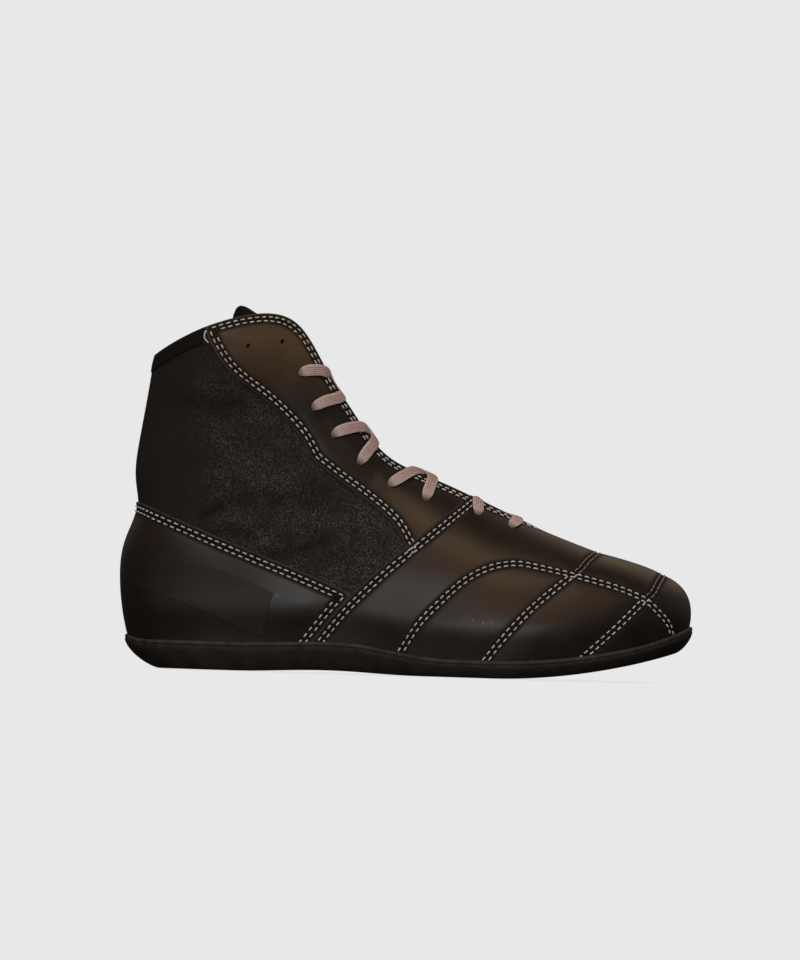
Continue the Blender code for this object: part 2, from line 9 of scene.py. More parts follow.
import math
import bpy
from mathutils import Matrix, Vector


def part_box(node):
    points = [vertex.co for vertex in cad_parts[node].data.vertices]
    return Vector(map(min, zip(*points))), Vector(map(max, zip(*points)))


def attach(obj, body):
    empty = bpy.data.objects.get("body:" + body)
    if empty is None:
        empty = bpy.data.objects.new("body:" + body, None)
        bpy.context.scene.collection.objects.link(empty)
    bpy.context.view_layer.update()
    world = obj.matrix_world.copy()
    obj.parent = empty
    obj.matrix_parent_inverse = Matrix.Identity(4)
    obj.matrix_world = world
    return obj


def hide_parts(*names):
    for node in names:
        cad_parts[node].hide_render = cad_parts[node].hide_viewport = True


bl_info = {
    "name": "Boxing Shoe Looks",
    "version": (1, 0, 0),
    "blender": (4, 5, 0),
    "location": "View3D > Sidebar > Shoe",
    "description": "Dresses a boxing shoe in leather, canvas, rubber, thread and lace",
    "category": "Object",
}

from collections import namedtuple

import bmesh
import bpy
import numpy as np
from bpy.props import FloatProperty, FloatVectorProperty, PointerProperty
from mathutils import Matrix, Vector

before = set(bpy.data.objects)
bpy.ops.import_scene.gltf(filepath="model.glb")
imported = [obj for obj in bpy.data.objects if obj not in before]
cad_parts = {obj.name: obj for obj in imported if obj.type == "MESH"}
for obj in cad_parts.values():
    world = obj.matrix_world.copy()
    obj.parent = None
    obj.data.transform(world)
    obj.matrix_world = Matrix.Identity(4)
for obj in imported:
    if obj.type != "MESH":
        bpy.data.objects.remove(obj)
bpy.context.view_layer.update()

MM = 0.001

# Sizes of the last and of the layers around it
SHOE_LENGTH = 286.6
BALL_WIDTH = 88.0
SHAFT_HEIGHT = 178.0
WALL = 2.0
OVERLAY = 1.2
GAP = 0.3
SEAT = 1.4
INSOLE = 3.0

# Points round the solids' insole, from which the last is placed in the frame
INSOLE_POINTS = 64

# The sole's floor, rim and underside
HEEL_FLOOR = 7.0
FORE_FLOOR = 4.0
HEEL_RIM = 14.2
FORE_RIM = 8.8
HEEL_RIM_LIFT = 5.0
TOE_RIM_LIFT = 3.8
RIM = 1.6
HEEL_TUCK = 0.7
FOOT_TUCK = 2.6
ARCH_RISE = 1.4
TOE_SPRING = 17.5
SPRING_POWER = 1.95
SIDE_ROUND = 3.0
HEEL_ROUND = 15.0
TOE_ROUND = 6.0
ROUND_POWER = 1.5
END_FOCUS = 1.8
ARCH = (20.0, 52.5)
STEP_DOWN = (39.0, 58.5)
SPRING_FROM = 65.0
TOE_LIFT_FROM = 88.0
HEEL_LIFT_TO = 5.6

# The sole's side from the tread up, in shares of its height, the bead along its rim, and their wear
SIDE_SHARES = (0.0, 0.03, 0.09, 0.18, 0.3, 0.45, 0.6, 0.75, 0.88, 0.96, 1.0)
TREAD_WEAR = 0.25
TREAD_WEAR_TO = 0.05
RIM_WEAR = 0.45
RIM_WEAR_FROM = 0.75
SEAT_WEAR = [0.2, 0.0]
BEAD_HEIGHT = 2.6
BeadRing = namedtuple("BeadRing", "out rise wear")
BEAD = [
    BeadRing(-0.32, 0.35, 0.1),
    BeadRing(-0.05, 0.9, 0.5),
    BeadRing(0.0, 1.4, 0.9),
    BeadRing(-0.1, 1.9, 1.0),
    BeadRing(-0.4, 2.35, 0.9),
    BeadRing(-0.8, BEAD_HEIGHT, 0.6),
]

# Grooves of the tread: their lean and slope, and the margin in which they fade
GROOVE_PITCH = 9.0
GROOVE_DEPTH = 0.8
GROOVE_LEAN = 0.35
GROOVE_SLOPE = (0.2, 0.7)
GROOVE_MARGIN = (0.15, 0.5)

# The footbed's edge: how far each ring lies in from it and above its underside
FOOTBED_EDGE = [(0.4, 0.0), (0.0, 0.5), (0.0, 2.2), (0.3, 2.7), (1.0, INSOLE)]

# Sections of the last, toe to heel: forward values in per cent of the shoe's length, sideways
# values in per cent of the ball width, heights in per cent of the shaft's height
Section = namedtuple(
    "Section",
    "name sole_x sole_lateral sole_medial low_forward low_out low_up"
    " high_forward high_out high_down top_x top_axis top_half top_z",
)
LAST = [
    Section("toe_tip", 98.2, -10.2, 10.2, 4.2, 0, 21.9, 16.7, 0, 11.8, 72.9, 4.5, 0, 41.0),
    Section("toe_corner", 95.0, 21.5, 35.0, 2.2, 6.8, 20.8, 15.4, 11.4, 11.0, 72.3, 4.5, 4.1, 41.5),
    Section("toe_side", 86.5, 39.2, 46.0, 0.7, 5.7, 20.2, 9.8, 21.6, 8.4, 70.8, 4.5, 7.3, 42.7),
    Section("ball", 69.8, 51.1, 48.9, 0, 4.5, 23.6, 2.1, 19.3, 6.7, 64.9, 4.0, 10.2, 47.0),
    Section("joint_back", 57.2, 47.7, 41.5, 0, 3.4, 25.8, 0.7, 19.3, 7.9, 54.4, 3.4, 11.9, 54.4),
    Section("waist", 44.7, 40.9, 34.1, 0, 2.3, 25.8, -0.7, 19.3, 8.4, 45.4, 2.3, 13.6, 61.2),
    Section("arch_back", 33.5, 36.4, 32.4, 0, 2.3, 27.0, -3.1, 19.3, 9.0, 39.4, 1.7, 14.8, 73.0),
    Section("heel_front", 23.7, 34.4, 33.3, 0, 1.7, 28.1, -4.9, 17.0, 10.1, 34.2, 1.1, 16.5, 85.7),
    Section("heel_side", 15.4, 33.6, 33.0, -0.7, 1.7, 29.2, -5.6, 14.8, 16.9, 29.5, 0.6, 21.0, 97.0),
    Section("heel_turn", 8.6, 28.0, 28.0, -2.5, 3.4, 28.1, -4.6, 2.3, 28.1, 23.2, 0, 33.6, 99.9),
    Section("heel_corner", 4.4, 17.0, 17.0, -4.5, 4.0, 25.8, -2.4, -2.3, 33.0, 11.5, 0, 34.1, 94.2),
    Section("heel_back", 2.8, 0, 0, -5.7, 0, 24.2, -2.3, 0, 32.6, 4.6, 0, 0, 87.5),
]
HOLLOW_DEPTH = 5.2
HOLLOW_HEIGHT = 78.0
HOLLOW_SPREAD = 15.0
HOLLOW_REACH = 26.0

# Panel edges in the side view: per cent of the shoe's length and of the shaft's height
VAMP_EDGE = [(31.0, 3.0), (33.8, 9.0), (38.9, 19.4), (44.6, 28.7), (49.6, 35.7), (60.4, 50.4), (67.0, 60.0)]
COUNTER_EDGE = [
    (-4.0, 48.6), (2.4, 46.2), (6.4, 43.7), (15.3, 37.9), (24.1, 32.4), (30.7, 28.4), (37.3, 24.1),
    (40.4, 21.9),
]
EYESTAY_SHAFT_EDGE = [(13.4, 100.0), (14.2, 92.9), (17.9, 83.8), (25.1, 74.9), (30.1, 67.0), (33.4, 58.4)]
EYESTAY_INSTEP_EDGE = [(33.4, 58.4), (39.4, 52.2), (46.6, 43.3), (49.8, 35.7)]
COUNTER_TIP_HEIGHT = 21.9
EYESTAY_TIP_HEIGHT = 35.7
EYESTAY_BEND_HEIGHT = 83.8
LACE_HOLES = [
    (67.6, 42.1), (61.7, 45.4), (52.6, 49.3), (46.3, 52.9), (40.9, 59.1),
    (36.2, 66.7), (32.6, 74.1), (30.1, 83.8), (26.7, 92.4), (20.9, 91.0),
]
HOLE_RADIUS = 1.7
BARE_HOLE_RADIUS = 1.2
HOLE_SIDES = 20
PUNCH_DEPTH = 6.0

# Stitched lines on the vamp in millimetres of the side view, from the sole up, where the toe's seams
# cross the ridge, and the heights above which their thread is worn
BALL_ARC = [
    (141.9, 13.4), (150.2, 26.4), (160.3, 37.4), (170.0, 46.5), (179.6, 52.6), (189.2, 55.8),
    (199.1, 56.6), (211.5, 54.5), (226.5, 51.4), (244.0, 47.1), (259.0, 41.6), (267.2, 35.3),
    (273.2, 28.7), (275.0, 21.5),
]
TOE_SEAM_BACK = [(184.0, 10.1), (195.1, 24.0), (207.2, 36.8), (219.4, 47.2), (228.0, 54.0)]
TOE_SEAM_BACK_RIDGE = 237.5
TOE_SEAM_BACK_TOP = 52.6
TOE_SEAM_FRONT = [(231.5, 12.1), (240.3, 20.3), (250.0, 29.6), (259.7, 39.4), (264.6, 43.8)]
TOE_SEAM_FRONT_RIDGE = 270.0
TOE_SEAM_FRONT_TOP = 41.4
RIDGE_FROM = 0.3
RIDGE_SHARES = (0.75, 0.5, 0.25)
RIDGE_POWER = 2.4
TUCKED_UNDER = 5.0

# Creases and swells of the canvas at the ankle: a line in millimetres of the side view, how far the
# cloth stands out along it, and half its width
Crease = namedtuple("Crease", "points depth half")
CREASES = [
    Crease(
        [(41.0, 77.0), (50.0, 81.5), (59.0, 84.5), (73.0, 85.6), (87.0, 84.6), (101.0, 86.5)], -1.0, 3.6
    ),
    Crease([(38.0, 92.0), (58.0, 94.0), (80.0, 94.5), (98.0, 96.0)], 0.7, 5.0),
    Crease([(47.0, 73.0), (58.0, 75.0), (72.0, 74.0), (84.0, 76.0), (97.0, 75.0)], 0.7, 4.0),
    Crease([(42.0, 68.5), (52.0, 68.2), (62.0, 67.0)], -0.7, 3.0),
    Crease([(70.0, 57.0), (80.0, 58.0), (91.0, 61.6), (102.0, 67.0)], -0.8, 3.4),
    Crease([(24.0, 136.0), (40.0, 131.0), (58.0, 132.0)], -0.6, 7.0),
    Crease([(98.0, 126.0), (108.0, 112.0), (124.0, 99.0)], -0.5, 4.5),
]

# The canvas's slow ripple in two waves round the shoe, and a share of the wall just under its edge
Ripple = namedtuple("Ripple", "height wave start")
RIPPLES = [Ripple(0.12, 9.0, 0.0), Ripple(0.1, 5.3, 1.7)]
NEAR_TOP = 0.985

# How finely the pieces are meshed
FINE_STEPS = 12
LEAST_POINTS = 8
SHORT_POINTS = 120
SIDE_POINTS = 240
SEAM_POINTS = 300
LONG_POINTS = 400
WALL_POINTS = 600
UPPER_GRID = (320, 60)
VAMP_GRID = (360, 84)
COUNTER_GRID = (260, 62)
EYESTAY_GRID = (170, 42)
PATCH_GRID = (84, 30)
SOLE_AROUND = 360
SOLE_ROWS = 30
FOOTBED_ROWS = 24
EDGE_TURNS = np.radians((30.0, 60.0, 90.0))
TOP_TURNS = np.radians((45.0, 90.0, 135.0))
FOLD_TURNS = np.radians((30.0, 60.0, 90.0, 120.0, 150.0))
SMOOTH_ANGLE = math.radians(42)

# Leather panels: their thickness, rounded edge and quilting beside the seams, and the painted shade along
# the seams
BACK_GAP = 0.05
VAMP_THICK = 1.4
PANEL_THICK = 1.1
EDGE_ROUND = 0.4
SEAM_SPACE = 0.8
PUFF = 0.36
PUFF_REACH = 8.0
TROUGH = 0.3
TROUGH_HALF = 2.3
SEAM_SHADE = 1.2
SEAM_HALF = 1.7
TURN_SLACK = 0.35
SIDE_SWELL = 0.9
SWELL_HEIGHT = 16.0
SWELL_HALF = 9.0
TUCK = 0.3
THROAT_FRONT = 204.5
TOP_MARGINS = [(70.0, 1.5), (115.0, 1.9), (150.0, 2.6), (205.0, 3.2)]

# One stitch: places along it, and its rise and girth there in thread widths and half widths
StitchRing = namedtuple("StitchRing", "share rise girth")
STITCH = [
    StitchRing(0.0, -0.30, 0.45),
    StitchRing(0.16, 0.16, 0.92),
    StitchRing(0.5, 0.42, 1.0),
    StitchRing(0.84, 0.16, 0.92),
    StitchRing(1.0, -0.30, 0.45),
]
STITCH_SIDES = 6
STAGGER = 0.5
WORN_LENGTH = 0.93
WORN_WIDTH = 0.75

# Small scuffs on the outer side: middle and half sizes in millimetres of the side view
Scuff = namedtuple("Scuff", "x z half_x half_z")
SCUFFS = [
    Scuff(181.3, 27.3, 0.5, 1.3), Scuff(185.5, 27.2, 0.5, 1.5), Scuff(78.2, 37.9, 0.9, 0.8),
    Scuff(176.0, 29.0, 0.4, 0.8),
]
SCUFF_GREY = (0.11, 0.104, 0.098)

# A warm brown sheen painted on the leather between two heights, in metres, and dust on leather and rubber
SHEEN_HEIGHTS = (0.133, 0.166)
SHEEN_BROWN = (0.115, 0.069, 0.037)
LEATHER_DUST = (0.05, 0.045, 0.04)
RUBBER_DUST = (0.045, 0.04, 0.035)

# Warm tints of the sheen
LEATHER_TINT = (1.0, 0.75, 0.55, 1.0)
CLOTH_TINT = (1.0, 0.8, 0.62, 1.0)
RUBBER_TINT = (1.0, 0.78, 0.6, 1.0)

# The bare patch on the counter's outer side: its edges in millimetres of the side view
PATCH_TOP = [(6.5, 63.2), (30.0, 55.0), (76.6, 39.4)]
PATCH_BOTTOM = [(2.0, 43.5), (25.0, 34.8), (71.3, 17.2)]
PATCH_THICK = 0.16
PATCH_SINK = 0.02
PATCH_ROUND = 0.08

# Tongue: its laps under the wall, its padding and, in millimetres of the side view, its rolled tip
TONGUE_FRONT_LAP = 12.0
TONGUE_LAPS = [(0.0, 4.0), (0.3, 14.0), (0.8, 14.0), (1.0, 6.0)]
TONGUE_RISE = 0.6
TONGUE_ROWS = 12
TONGUE_ACROSS = 7
TONGUE_THICK = 4.2
TONGUE_EDGE = 1.5
TONGUE_CROWN = 1.0
TONGUE_SWELL = (0.0, 0.3)
TONGUE_DROP = 3.4
TONGUE_SIDE_SWELL = 0.8
TONGUE_FINE_ROWS = 6
TONGUE_FINE_ACROSS = 5
TONGUE_THREAD_STEP = 1.1
TongueTip = namedtuple("TongueTip", "x z half drop thick")
TONGUE_TIP = [
    TongueTip(80.5, 169.5, 16.5, 5.0, 5.5),
    TongueTip(72.0, 173.4, 18.0, 6.0, 6.5),
    TongueTip(64.6, 177.9, 18.0, 7.0, 6.5),
    TongueTip(58.2, 181.6, 16.0, 8.0, 6.0),
    TongueTip(54.4, 181.6, 14.0, 7.5, 5.0),
    TongueTip(52.2, 177.6, 12.5, 5.0, 4.5),
    TongueTip(51.3, 172.0, 11.5, 3.0, 4.0),
]

# Lace: where each strap crosses the throat's edge, from the toe up, in per cent of the shoe's
# length and of the shaft's height, and how it runs above and below the wall
LACED_PAIRS = 8
STRAP_EDGES = [
    (68.9, 45.3), (61.6, 50.2), (53.9, 55.5), (50.8, 57.6),
    (43.5, 65.1), (41.4, 68.9), (37.8, 76.9), (35.0, 84.1),
]
STRAP_LIFT = 2.35
STRAP_CROSS = 0.65
StrapRise = namedtuple("StrapRise", "crest ends middle")
STRAP_RISES = [
    StrapRise(0.4, -2.3, -3.0),
    StrapRise(1.1, 0.1, 0.2),
    StrapRise(1.1, 0.1, 0.2),
    StrapRise(0.8, -0.6, -1.7),
]
STRAP_SHARES = (0.22, 0.5, 0.78)
HIDDEN_OUT = -2.85
HIDDEN_SHARES = (0.3, 0.5, 0.7)
HIDDEN_WIDE = 0.9
HIDDEN_THICK = 0.8
BAR_UP = 0.6
BAR_RISE = 0.8
BAR_THICK = 0.9
LACE_SIDES = 18
LACE_STEPS = 9
LACE_EDGE_POWER = 0.55
LACE_FACE_POWER = 0.75
STRAND_PITCH = 0.8
STRAND_LEAN = 2.2
STRAND_HEIGHT = 0.6
RIB_PITCH = 0.4
LACE_EASING = 60
EASING_STEP = 0.5
EASED_FROM = (0.15, 0.6)
LACE_END_OUT = -1.7

# The lace in a hole: its height off the wall, and its width and thickness as shares of the flat lace
InHole = namedtuple("InHole", "out wide thick")
IN_HOLE = [InHole(HIDDEN_OUT, 0.62, 1.3), InHole(-0.6, 0.56, 1.5), InHole(1.2, 0.62, 1.4)]

# The lace from a hole to the throat's edge: share of the way, of the strap's crest and of its width
OverWall = namedtuple("OverWall", "share crest wide")
OVER_WALL = [
    OverWall(0.1, 0.08, 0.9),
    OverWall(0.32, 0.19, 1.0),
    OverWall(0.62, 0.38, 1.0),
    OverWall(0.92, 1.0, 1.0),
]

# Collar tape: its rows down from the edge, with their share of its thickness, and its pucker
TapeRow = namedtuple("TapeRow", "down swell")
TAPE_ROWS = [
    TapeRow(8.5, 0.25),
    TapeRow(8.2, 0.75),
    TapeRow(6.0, 1.0),
    TapeRow(4.0, 1.05),
    TapeRow(2.0, 1.0),
    TapeRow(0.0, 0.95),
]
TAPE_STEPS = 260
TAPE_THREAD_STEP = 1.2
PUCKER = 0.08
PUCKER_WAVES = (1.9, 7.0)
BINDING = 0.5
BINDING_GAP = 0.15
BINDING_FROM = (13.5, 94.9)
ROLL = 0.6
ROLL_REACH = 9.0
ROLL_SPREAD = 30.0

# The bar of thread that ties the eyestay's corner over the tape, in millimetres of the side view
TIE_STITCH = [(39.9, 169.9), (38.7, 167.0), (39.0, 164.6), (40.4, 162.9)]
TIE_OUT = 1.5
TIE_ARCH = (0.1, 0.9)
TIE_RADIUS = 0.36
TIE_SIDES = 8
TIE_STEPS = 5

# Heights between which the tongue's cloth is painted darker towards its tip, in metres: painted light, with
# the tip darker where it is lit and the cloth lighter lower down in the throat's shade
TONGUE_PAINTED_DARK = (0.155, 0.174)

# Where the canvas's flecks, painted glints of the weave, fade towards the heel, in metres along the frame
GLINT_FADE_HEEL = (-0.113, -0.094)

# Soft patches of studio light: direction from the shoe in degrees round from the camera and up,
# inner and outer radius in degrees, half height as a share of the sky, and colour
Glow = namedtuple("Glow", "side rise inner outer half_height colour")
STUDIO_GLOWS = [
    Glow(-4.0, 39.0, 9.0, 32.0, 9.0, (1.25, 0.82, 0.52)),
    Glow(160.0, 42.0, 8.0, 30.0, 8.0, (0.5, 0.33, 0.2)),
    Glow(-45.0, 9.0, 10.0, 46.0, 0.16, (0.62, 0.44, 0.28)),
    Glow(-5.0, 16.0, 9.0, 20.0, 0.11, (5.5, 8.5, 12.2)),
]

# How the room's even light falls off: a range of direction and the share of light at its ends
DIM_BEHIND = (0.2, 0.9, 1.0, 0.65)
DIM_OVERHEAD = (0.6, 1.0, 1.0, 0.75)
DIM_BELOW = (-0.1, 0.25, 0.15, 1.0)

# The softbox, and the floor with its faint shade round the shoe, in metres
SOFTBOX_PLACE = (0.3, -0.95, 1.6)
SOFTBOX_AIM = (0.0, 0.0, 0.08)
SOFTBOX_SIZE = (0.9, 0.6)
SOFTBOX_COLOUR = (1.0, 0.86, 0.72)
FLOOR_REACH = 8.0
FLOOR_DROP = 0.0004
SHADE_REACH = 0.025
SHADE_TO = 0.75
SHADE_TONE = 0.91
SHADE_SAMPLES = 8

# The photograph's frame: its size in pixels, the point at its centre and its scale
FRAME_PIXELS = (800, 960)
FRAME_CENTRE = (137.9, 97.3)
MM_PER_PIXEL = 0.5


def along_length(percent):
    """A forward place or distance, from per cent of the shoe's length."""
    return np.asarray(percent, float) * SHOE_LENGTH / 100


def ramp(low, high, value):
    """The share of the way from low to high, held between 0 and 1."""
    return np.clip((np.asarray(value, float) - low) / (high - low), 0.0, 1.0)


def ease(share):
    """A smooth step from 0 to 1."""
    return share * share * (3.0 - 2.0 * share)


def unit(vectors):
    """Vectors at length 1."""
    return vectors / np.linalg.norm(vectors, axis=-1, keepdims=True)


def tread_height(x):
    """Underside of the sole: flat at heel and ball, with an arch and a toe spring."""
    arch = ramp(*along_length(ARCH), x)
    spring = ramp(along_length(SPRING_FROM), SHOE_LENGTH, x)
    return ARCH_RISE * np.sin(math.pi * arch) ** 2 + TOE_SPRING * spring**SPRING_POWER


def heel_share(x):
    """1 under the heel, easing to 0 under the ball."""
    return 1.0 - ease(ramp(*along_length(STEP_DOWN), x))


def floor_height(x):
    """Inside of the cup, which the upper and the insole stand on."""
    return tread_height(x) + FORE_FLOOR + (HEEL_FLOOR - FORE_FLOOR) * heel_share(x)


def rim_height(x):
    """Top of the cup's rim, higher round the heel and at the toe bumper."""
    heel = HEEL_RIM_LIFT * (1.0 - ramp(0.0, along_length(HEEL_LIFT_TO), x)) ** 2
    toe = TOE_RIM_LIFT * ramp(along_length(TOE_LIFT_FROM), SHOE_LENGTH, x) ** 2
    return tread_height(x) + FORE_RIM + (HEEL_RIM - FORE_RIM) * heel_share(x) + heel + toe


class ClosedSpline:
    """Periodic cubic spline through rows of values at rising knots."""

    def __init__(self, knots, rows, period):
        self.knots = np.append(knots, period)
        self.rows = np.vstack([rows, rows[:1]])
        self.period = period
        count = len(rows)
        step = np.diff(self.knots)
        slope = np.diff(self.rows, axis=0) / step[:, None]
        matrix = np.zeros((count, count))
        right = np.zeros_like(rows)
        for i in range(count):
            before, after = step[i - 1], step[i]
            matrix[i, i - 1] += after
            matrix[i, i] += 2.0 * (before + after)
            matrix[i, (i + 1) % count] += before
            right[i] = 3.0 * (after * slope[i - 1] + before * slope[i])
        tangents = np.linalg.solve(matrix, right)
        self.tangents = np.vstack([tangents, tangents[:1]])

    def __call__(self, where):
        where = np.mod(where, self.period)
        i = np.searchsorted(self.knots, where, "right") - 1
        step = self.knots[i + 1] - self.knots[i]
        t = ((where - self.knots[i]) / step)[..., None]
        step = step[..., None]
        return (
            (1 + 2 * t) * (1 - t) ** 2 * self.rows[i]
            + t * (1 - t) ** 2 * step * self.tangents[i]
            + t * t * (3 - 2 * t) * self.rows[i + 1]
            + t * t * (t - 1) * step * self.tangents[i + 1]
        )


def section_controls(row, side):
    """Control points of one section's wall, sole to topline; side is -1 lateral, +1 medial."""
    scale = np.array([SHOE_LENGTH, BALL_WIDTH, SHAFT_HEIGHT]) / 100
    sole_out = row.sole_lateral if side < 0 else row.sole_medial
    sole = scale * [row.sole_x, side * sole_out, 0.0]
    sole[2] = floor_height(sole[0]) + SEAT
    top = scale * [row.top_x, row.top_axis + side * row.top_half, row.top_z]
    low = sole + scale * [row.low_forward, side * row.low_out, row.low_up]
    high = top + scale * [row.high_forward, side * row.high_out, -row.high_down]
    return np.array([sole, low, high, top])


class LastForm:
    """Outer face of the upper: u runs round the foot from the toe, v from sole to topline.

    Positive u goes back along the lateral side, negative u along the medial side.
    """

    def __init__(self):
        lateral = np.array([section_controls(row, -1) for row in LAST])
        medial = np.array([section_controls(row, 1) for row in LAST])
        steps = np.linalg.norm(np.diff(lateral, axis=0), axis=-1)
        half = np.concatenate([[0.0], np.cumsum((steps[:, 0] + steps[:, 3]) / 2)])
        self.knots = half
        self.half = half[-1]
        self.length = 2 * half[-1]
        knots = np.concatenate([half, self.length - half[-2:0:-1]])
        rows = np.concatenate([lateral, medial[-2:0:-1]])
        self.controls = ClosedSpline(knots, rows.reshape(len(rows), -1), self.length)

    def knot(self, name):
        """The u of a named section, lateral side."""
        return self.knots[[row.name for row in LAST].index(name)]

    def face(self, u, v):
        """Points of the outer face."""
        u, v = np.broadcast_arrays(np.asarray(u, float), np.asarray(v, float))
        sole, low, high, top = np.split(self.controls(u), 4, axis=-1)
        t = v[..., None]
        points = (1 - t) ** 3 * sole + 3 * (1 - t) ** 2 * t * low + 3 * (1 - t) * t**2 * high + t**3 * top
        rise = (points[..., 2] - HOLLOW_HEIGHT) / HOLLOW_SPREAD
        reach = (np.mod(u, self.length) - self.half) / HOLLOW_REACH
        points[..., 0] += HOLLOW_DEPTH * np.exp(-(rise**2) - reach**2)
        return points

    def slopes(self, u, v):
        """How the face moves with u and with v."""
        u, v = np.broadcast_arrays(np.asarray(u, float), np.asarray(v, float))
        step = 1e-3
        low, high = np.maximum(v - step, 0.0), np.minimum(v + step, 1.0)
        along = (self.face(u + step, v) - self.face(u - step, v)) / (2 * step)
        up = (self.face(u, high) - self.face(u, low)) / (high - low)[..., None]
        return along, up

    def normal(self, u, v):
        """Outward unit normals."""
        along, up = self.slopes(u, v)
        return unit(np.cross(up, along))

    def at(self, u, v, out=0.0):
        """Points at a distance outside the face."""
        return self.face(u, v) + np.asarray(out)[..., None] * self.normal(u, v)

    def below_edge(self, u, distance):
        """The v that lies a short distance down the wall from the topline."""
        part = 0.1
        length = np.linalg.norm(self.face(u, 1.0 - part) - self.face(u, 1.0), axis=-1)
        return 1.0 - part * distance / length

    def at_height(self, u, height):
        """The v at which the wall reaches a height near the sole."""
        step = 0.01
        v = np.zeros(np.shape(u))
        for _ in range(6):
            here = self.face(u, v)[..., 2]
            v = v + step * (height - here) / (self.face(u, v + step)[..., 2] - here)
        return v

    def locate(self, x, z, side=1, axes=(0, 2)):
        """The u and v that show at x, z in the side view, or at x, y from above with axes 0, 1.

        The side is 1 lateral, -1 medial.
        """
        centre = np.array([self.half / 2, 0.5])
        reach = np.array([self.half / 2, 0.5])
        for _ in range(7):
            low, high = np.maximum(centre - reach, 0.0), np.minimum(centre + reach, [self.half, 1.0])
            u, v = np.meshgrid(*np.linspace(low, high, 33).T, indexing="ij")
            miss = np.sum((self.face(side * u, v)[..., axes] - [x, z]) ** 2, axis=-1)
            best = np.unravel_index(np.argmin(miss), miss.shape)
            centre = np.array([u[best], v[best]])
            reach = reach / 6
        return centre * [side, 1.0]

    def moved(self, line, move):
        """(u, v) points moved over the face by small vectors."""
        along, up = self.slopes(*line.T)
        a, b, c = (np.sum(p * q, axis=1) for p, q in ((along, along), (along, up), (up, up)))
        p, q = np.sum(along * move, axis=1), np.sum(up * move, axis=1)
        step = np.column_stack([c * p - b * q, a * q - b * p]) / (a * c - b * b)[:, None]
        shifted = line + step
        shifted[:, 1] = np.clip(shifted[:, 1], 0.0, 1.0)
        return shifted


FORM = LastForm()


def last_offset():
    """Where the last's own origin lies in the frame, from the insole's lowest corner."""
    around = np.arange(INSOLE_POINTS) * FORM.length / INSOLE_POINTS
    edge = FORM.at(around, 0.0, -WALL - GAP)
    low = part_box("insole")[0]
    return np.array([low.x / MM - edge[:, 0].min(), low.y / MM - edge[:, 1].min(), 0.0])


OFFSET = last_offset()


def smooth_line(points, steps=FINE_STEPS):
    """A smooth line through points of any dimension."""
    p = np.asarray(points, float)
    p = np.concatenate([2 * p[:1] - p[1:2], p, 2 * p[-1:] - p[-2:-1]])
    line = []
    for a, b, c, d in zip(p, p[1:], p[2:], p[3:]):
        for t in np.arange(steps) / steps:
            bend = (2 * a - 5 * b + 4 * c - d) * t**2 + (3 * b - a - 3 * c + d) * t**3
            line.append(b + ((c - a) * t + bend) / 2)
    return np.array(line + [p[-2]])


def side_places(rows):
    """Side-view places in millimetres, from per cent of length and of shaft height."""
    return np.array(rows) * [SHOE_LENGTH, SHAFT_HEIGHT] / 100


def side_line(rows):
    """A smooth side-view line in millimetres, from per cent of length and of shaft height."""
    return smooth_line(side_places(rows))


def path_length(points):
    """Distance along a line to each of its points."""
    return np.concatenate([[0.0], np.cumsum(np.linalg.norm(np.diff(points, axis=0), axis=1))])


def resample(line, count):
    """A line of (u, v) with evenly spaced points on the face."""
    run = path_length(FORM.face(*line.T))
    places = np.linspace(0.0, run[-1], count)
    return np.column_stack([np.interp(places, run, line[:, 0]), np.interp(places, run, line[:, 1])])


def gap_to(points, line):
    """Distance from each point to the nearest point of a line."""
    points = points.reshape(-1, 3)
    nearest = np.empty(len(points))
    for start in range(0, len(points), 4000):
        part = points[start : start + 4000]
        square = (part**2).sum(1)[:, None] + (line**2).sum(1) - 2.0 * part @ line.T
        nearest[start : start + 4000] = np.sqrt(np.maximum(square.min(axis=1), 0.0))
    return nearest


def crease_lines():
    """The creases' lines on both sides of the shoe, with their depth and half width."""
    lines = []
    for crease in CREASES:
        for side in (1, -1):
            line = smooth_line([FORM.locate(x, z, side) for x, z in crease.points])
            lines.append((FORM.face(*line.T), crease.depth, crease.half))
    return lines


CREASE_LINES = crease_lines()


def collar_roll(u, points):
    """How far the collar's edge leans in at the back of the heel."""
    fall = FORM.face(u, 1.0)[..., 2] - points[..., 2]
    back = (np.mod(u, FORM.length) - FORM.half) / ROLL_SPREAD
    return -ROLL * (1.0 - ramp(0.0, ROLL_REACH, fall)) ** 2 * np.exp(-(back**2))


def crease_falls(base):
    """Each crease's depth, and how close to its line the points lie, from 0 to 1."""
    for line, depth, half in CREASE_LINES:
        near = gap_to(base, line).reshape(base.shape[:-1])
        yield depth, np.exp(-((near / half) ** 2))


def skin(u, v, out=0.0):
    """Points at a distance outside the last, following its creases."""
    base = FORM.face(u, v)
    depth = np.broadcast_to(collar_roll(u, base), base.shape[:-1]).copy()
    for height, fall in crease_falls(base):
        depth += height * fall
    return base + (depth + out)[..., None] * FORM.normal(u, v)


def crease_shade(u, v):
    """How deep the cloth lies in a crease, from 0 to 1, used as painted shade in the creases."""
    base = FORM.face(u, v)
    shade = np.zeros(base.shape[:-1])
    for height, fall in crease_falls(base):
        shade = np.maximum(shade, min(max(-height, 0.0), 1.0) * fall)
    return shade


def wall_crossing(v, line, side):
    """The u at which the wall at share v meets a side-view line; side is 1 lateral, -1 medial."""
    line = line[np.argsort(line[:, 1])]
    low, high = np.zeros_like(v), np.full_like(v, FORM.half)
    for _ in range(40):
        middle = (low + high) / 2
        point = FORM.face(side * middle, v)
        ahead = point[..., 0] > np.interp(point[..., 2], line[:, 1], line[:, 0])
        low, high = np.where(ahead, middle, low), np.where(ahead, high, middle)
    return side * middle


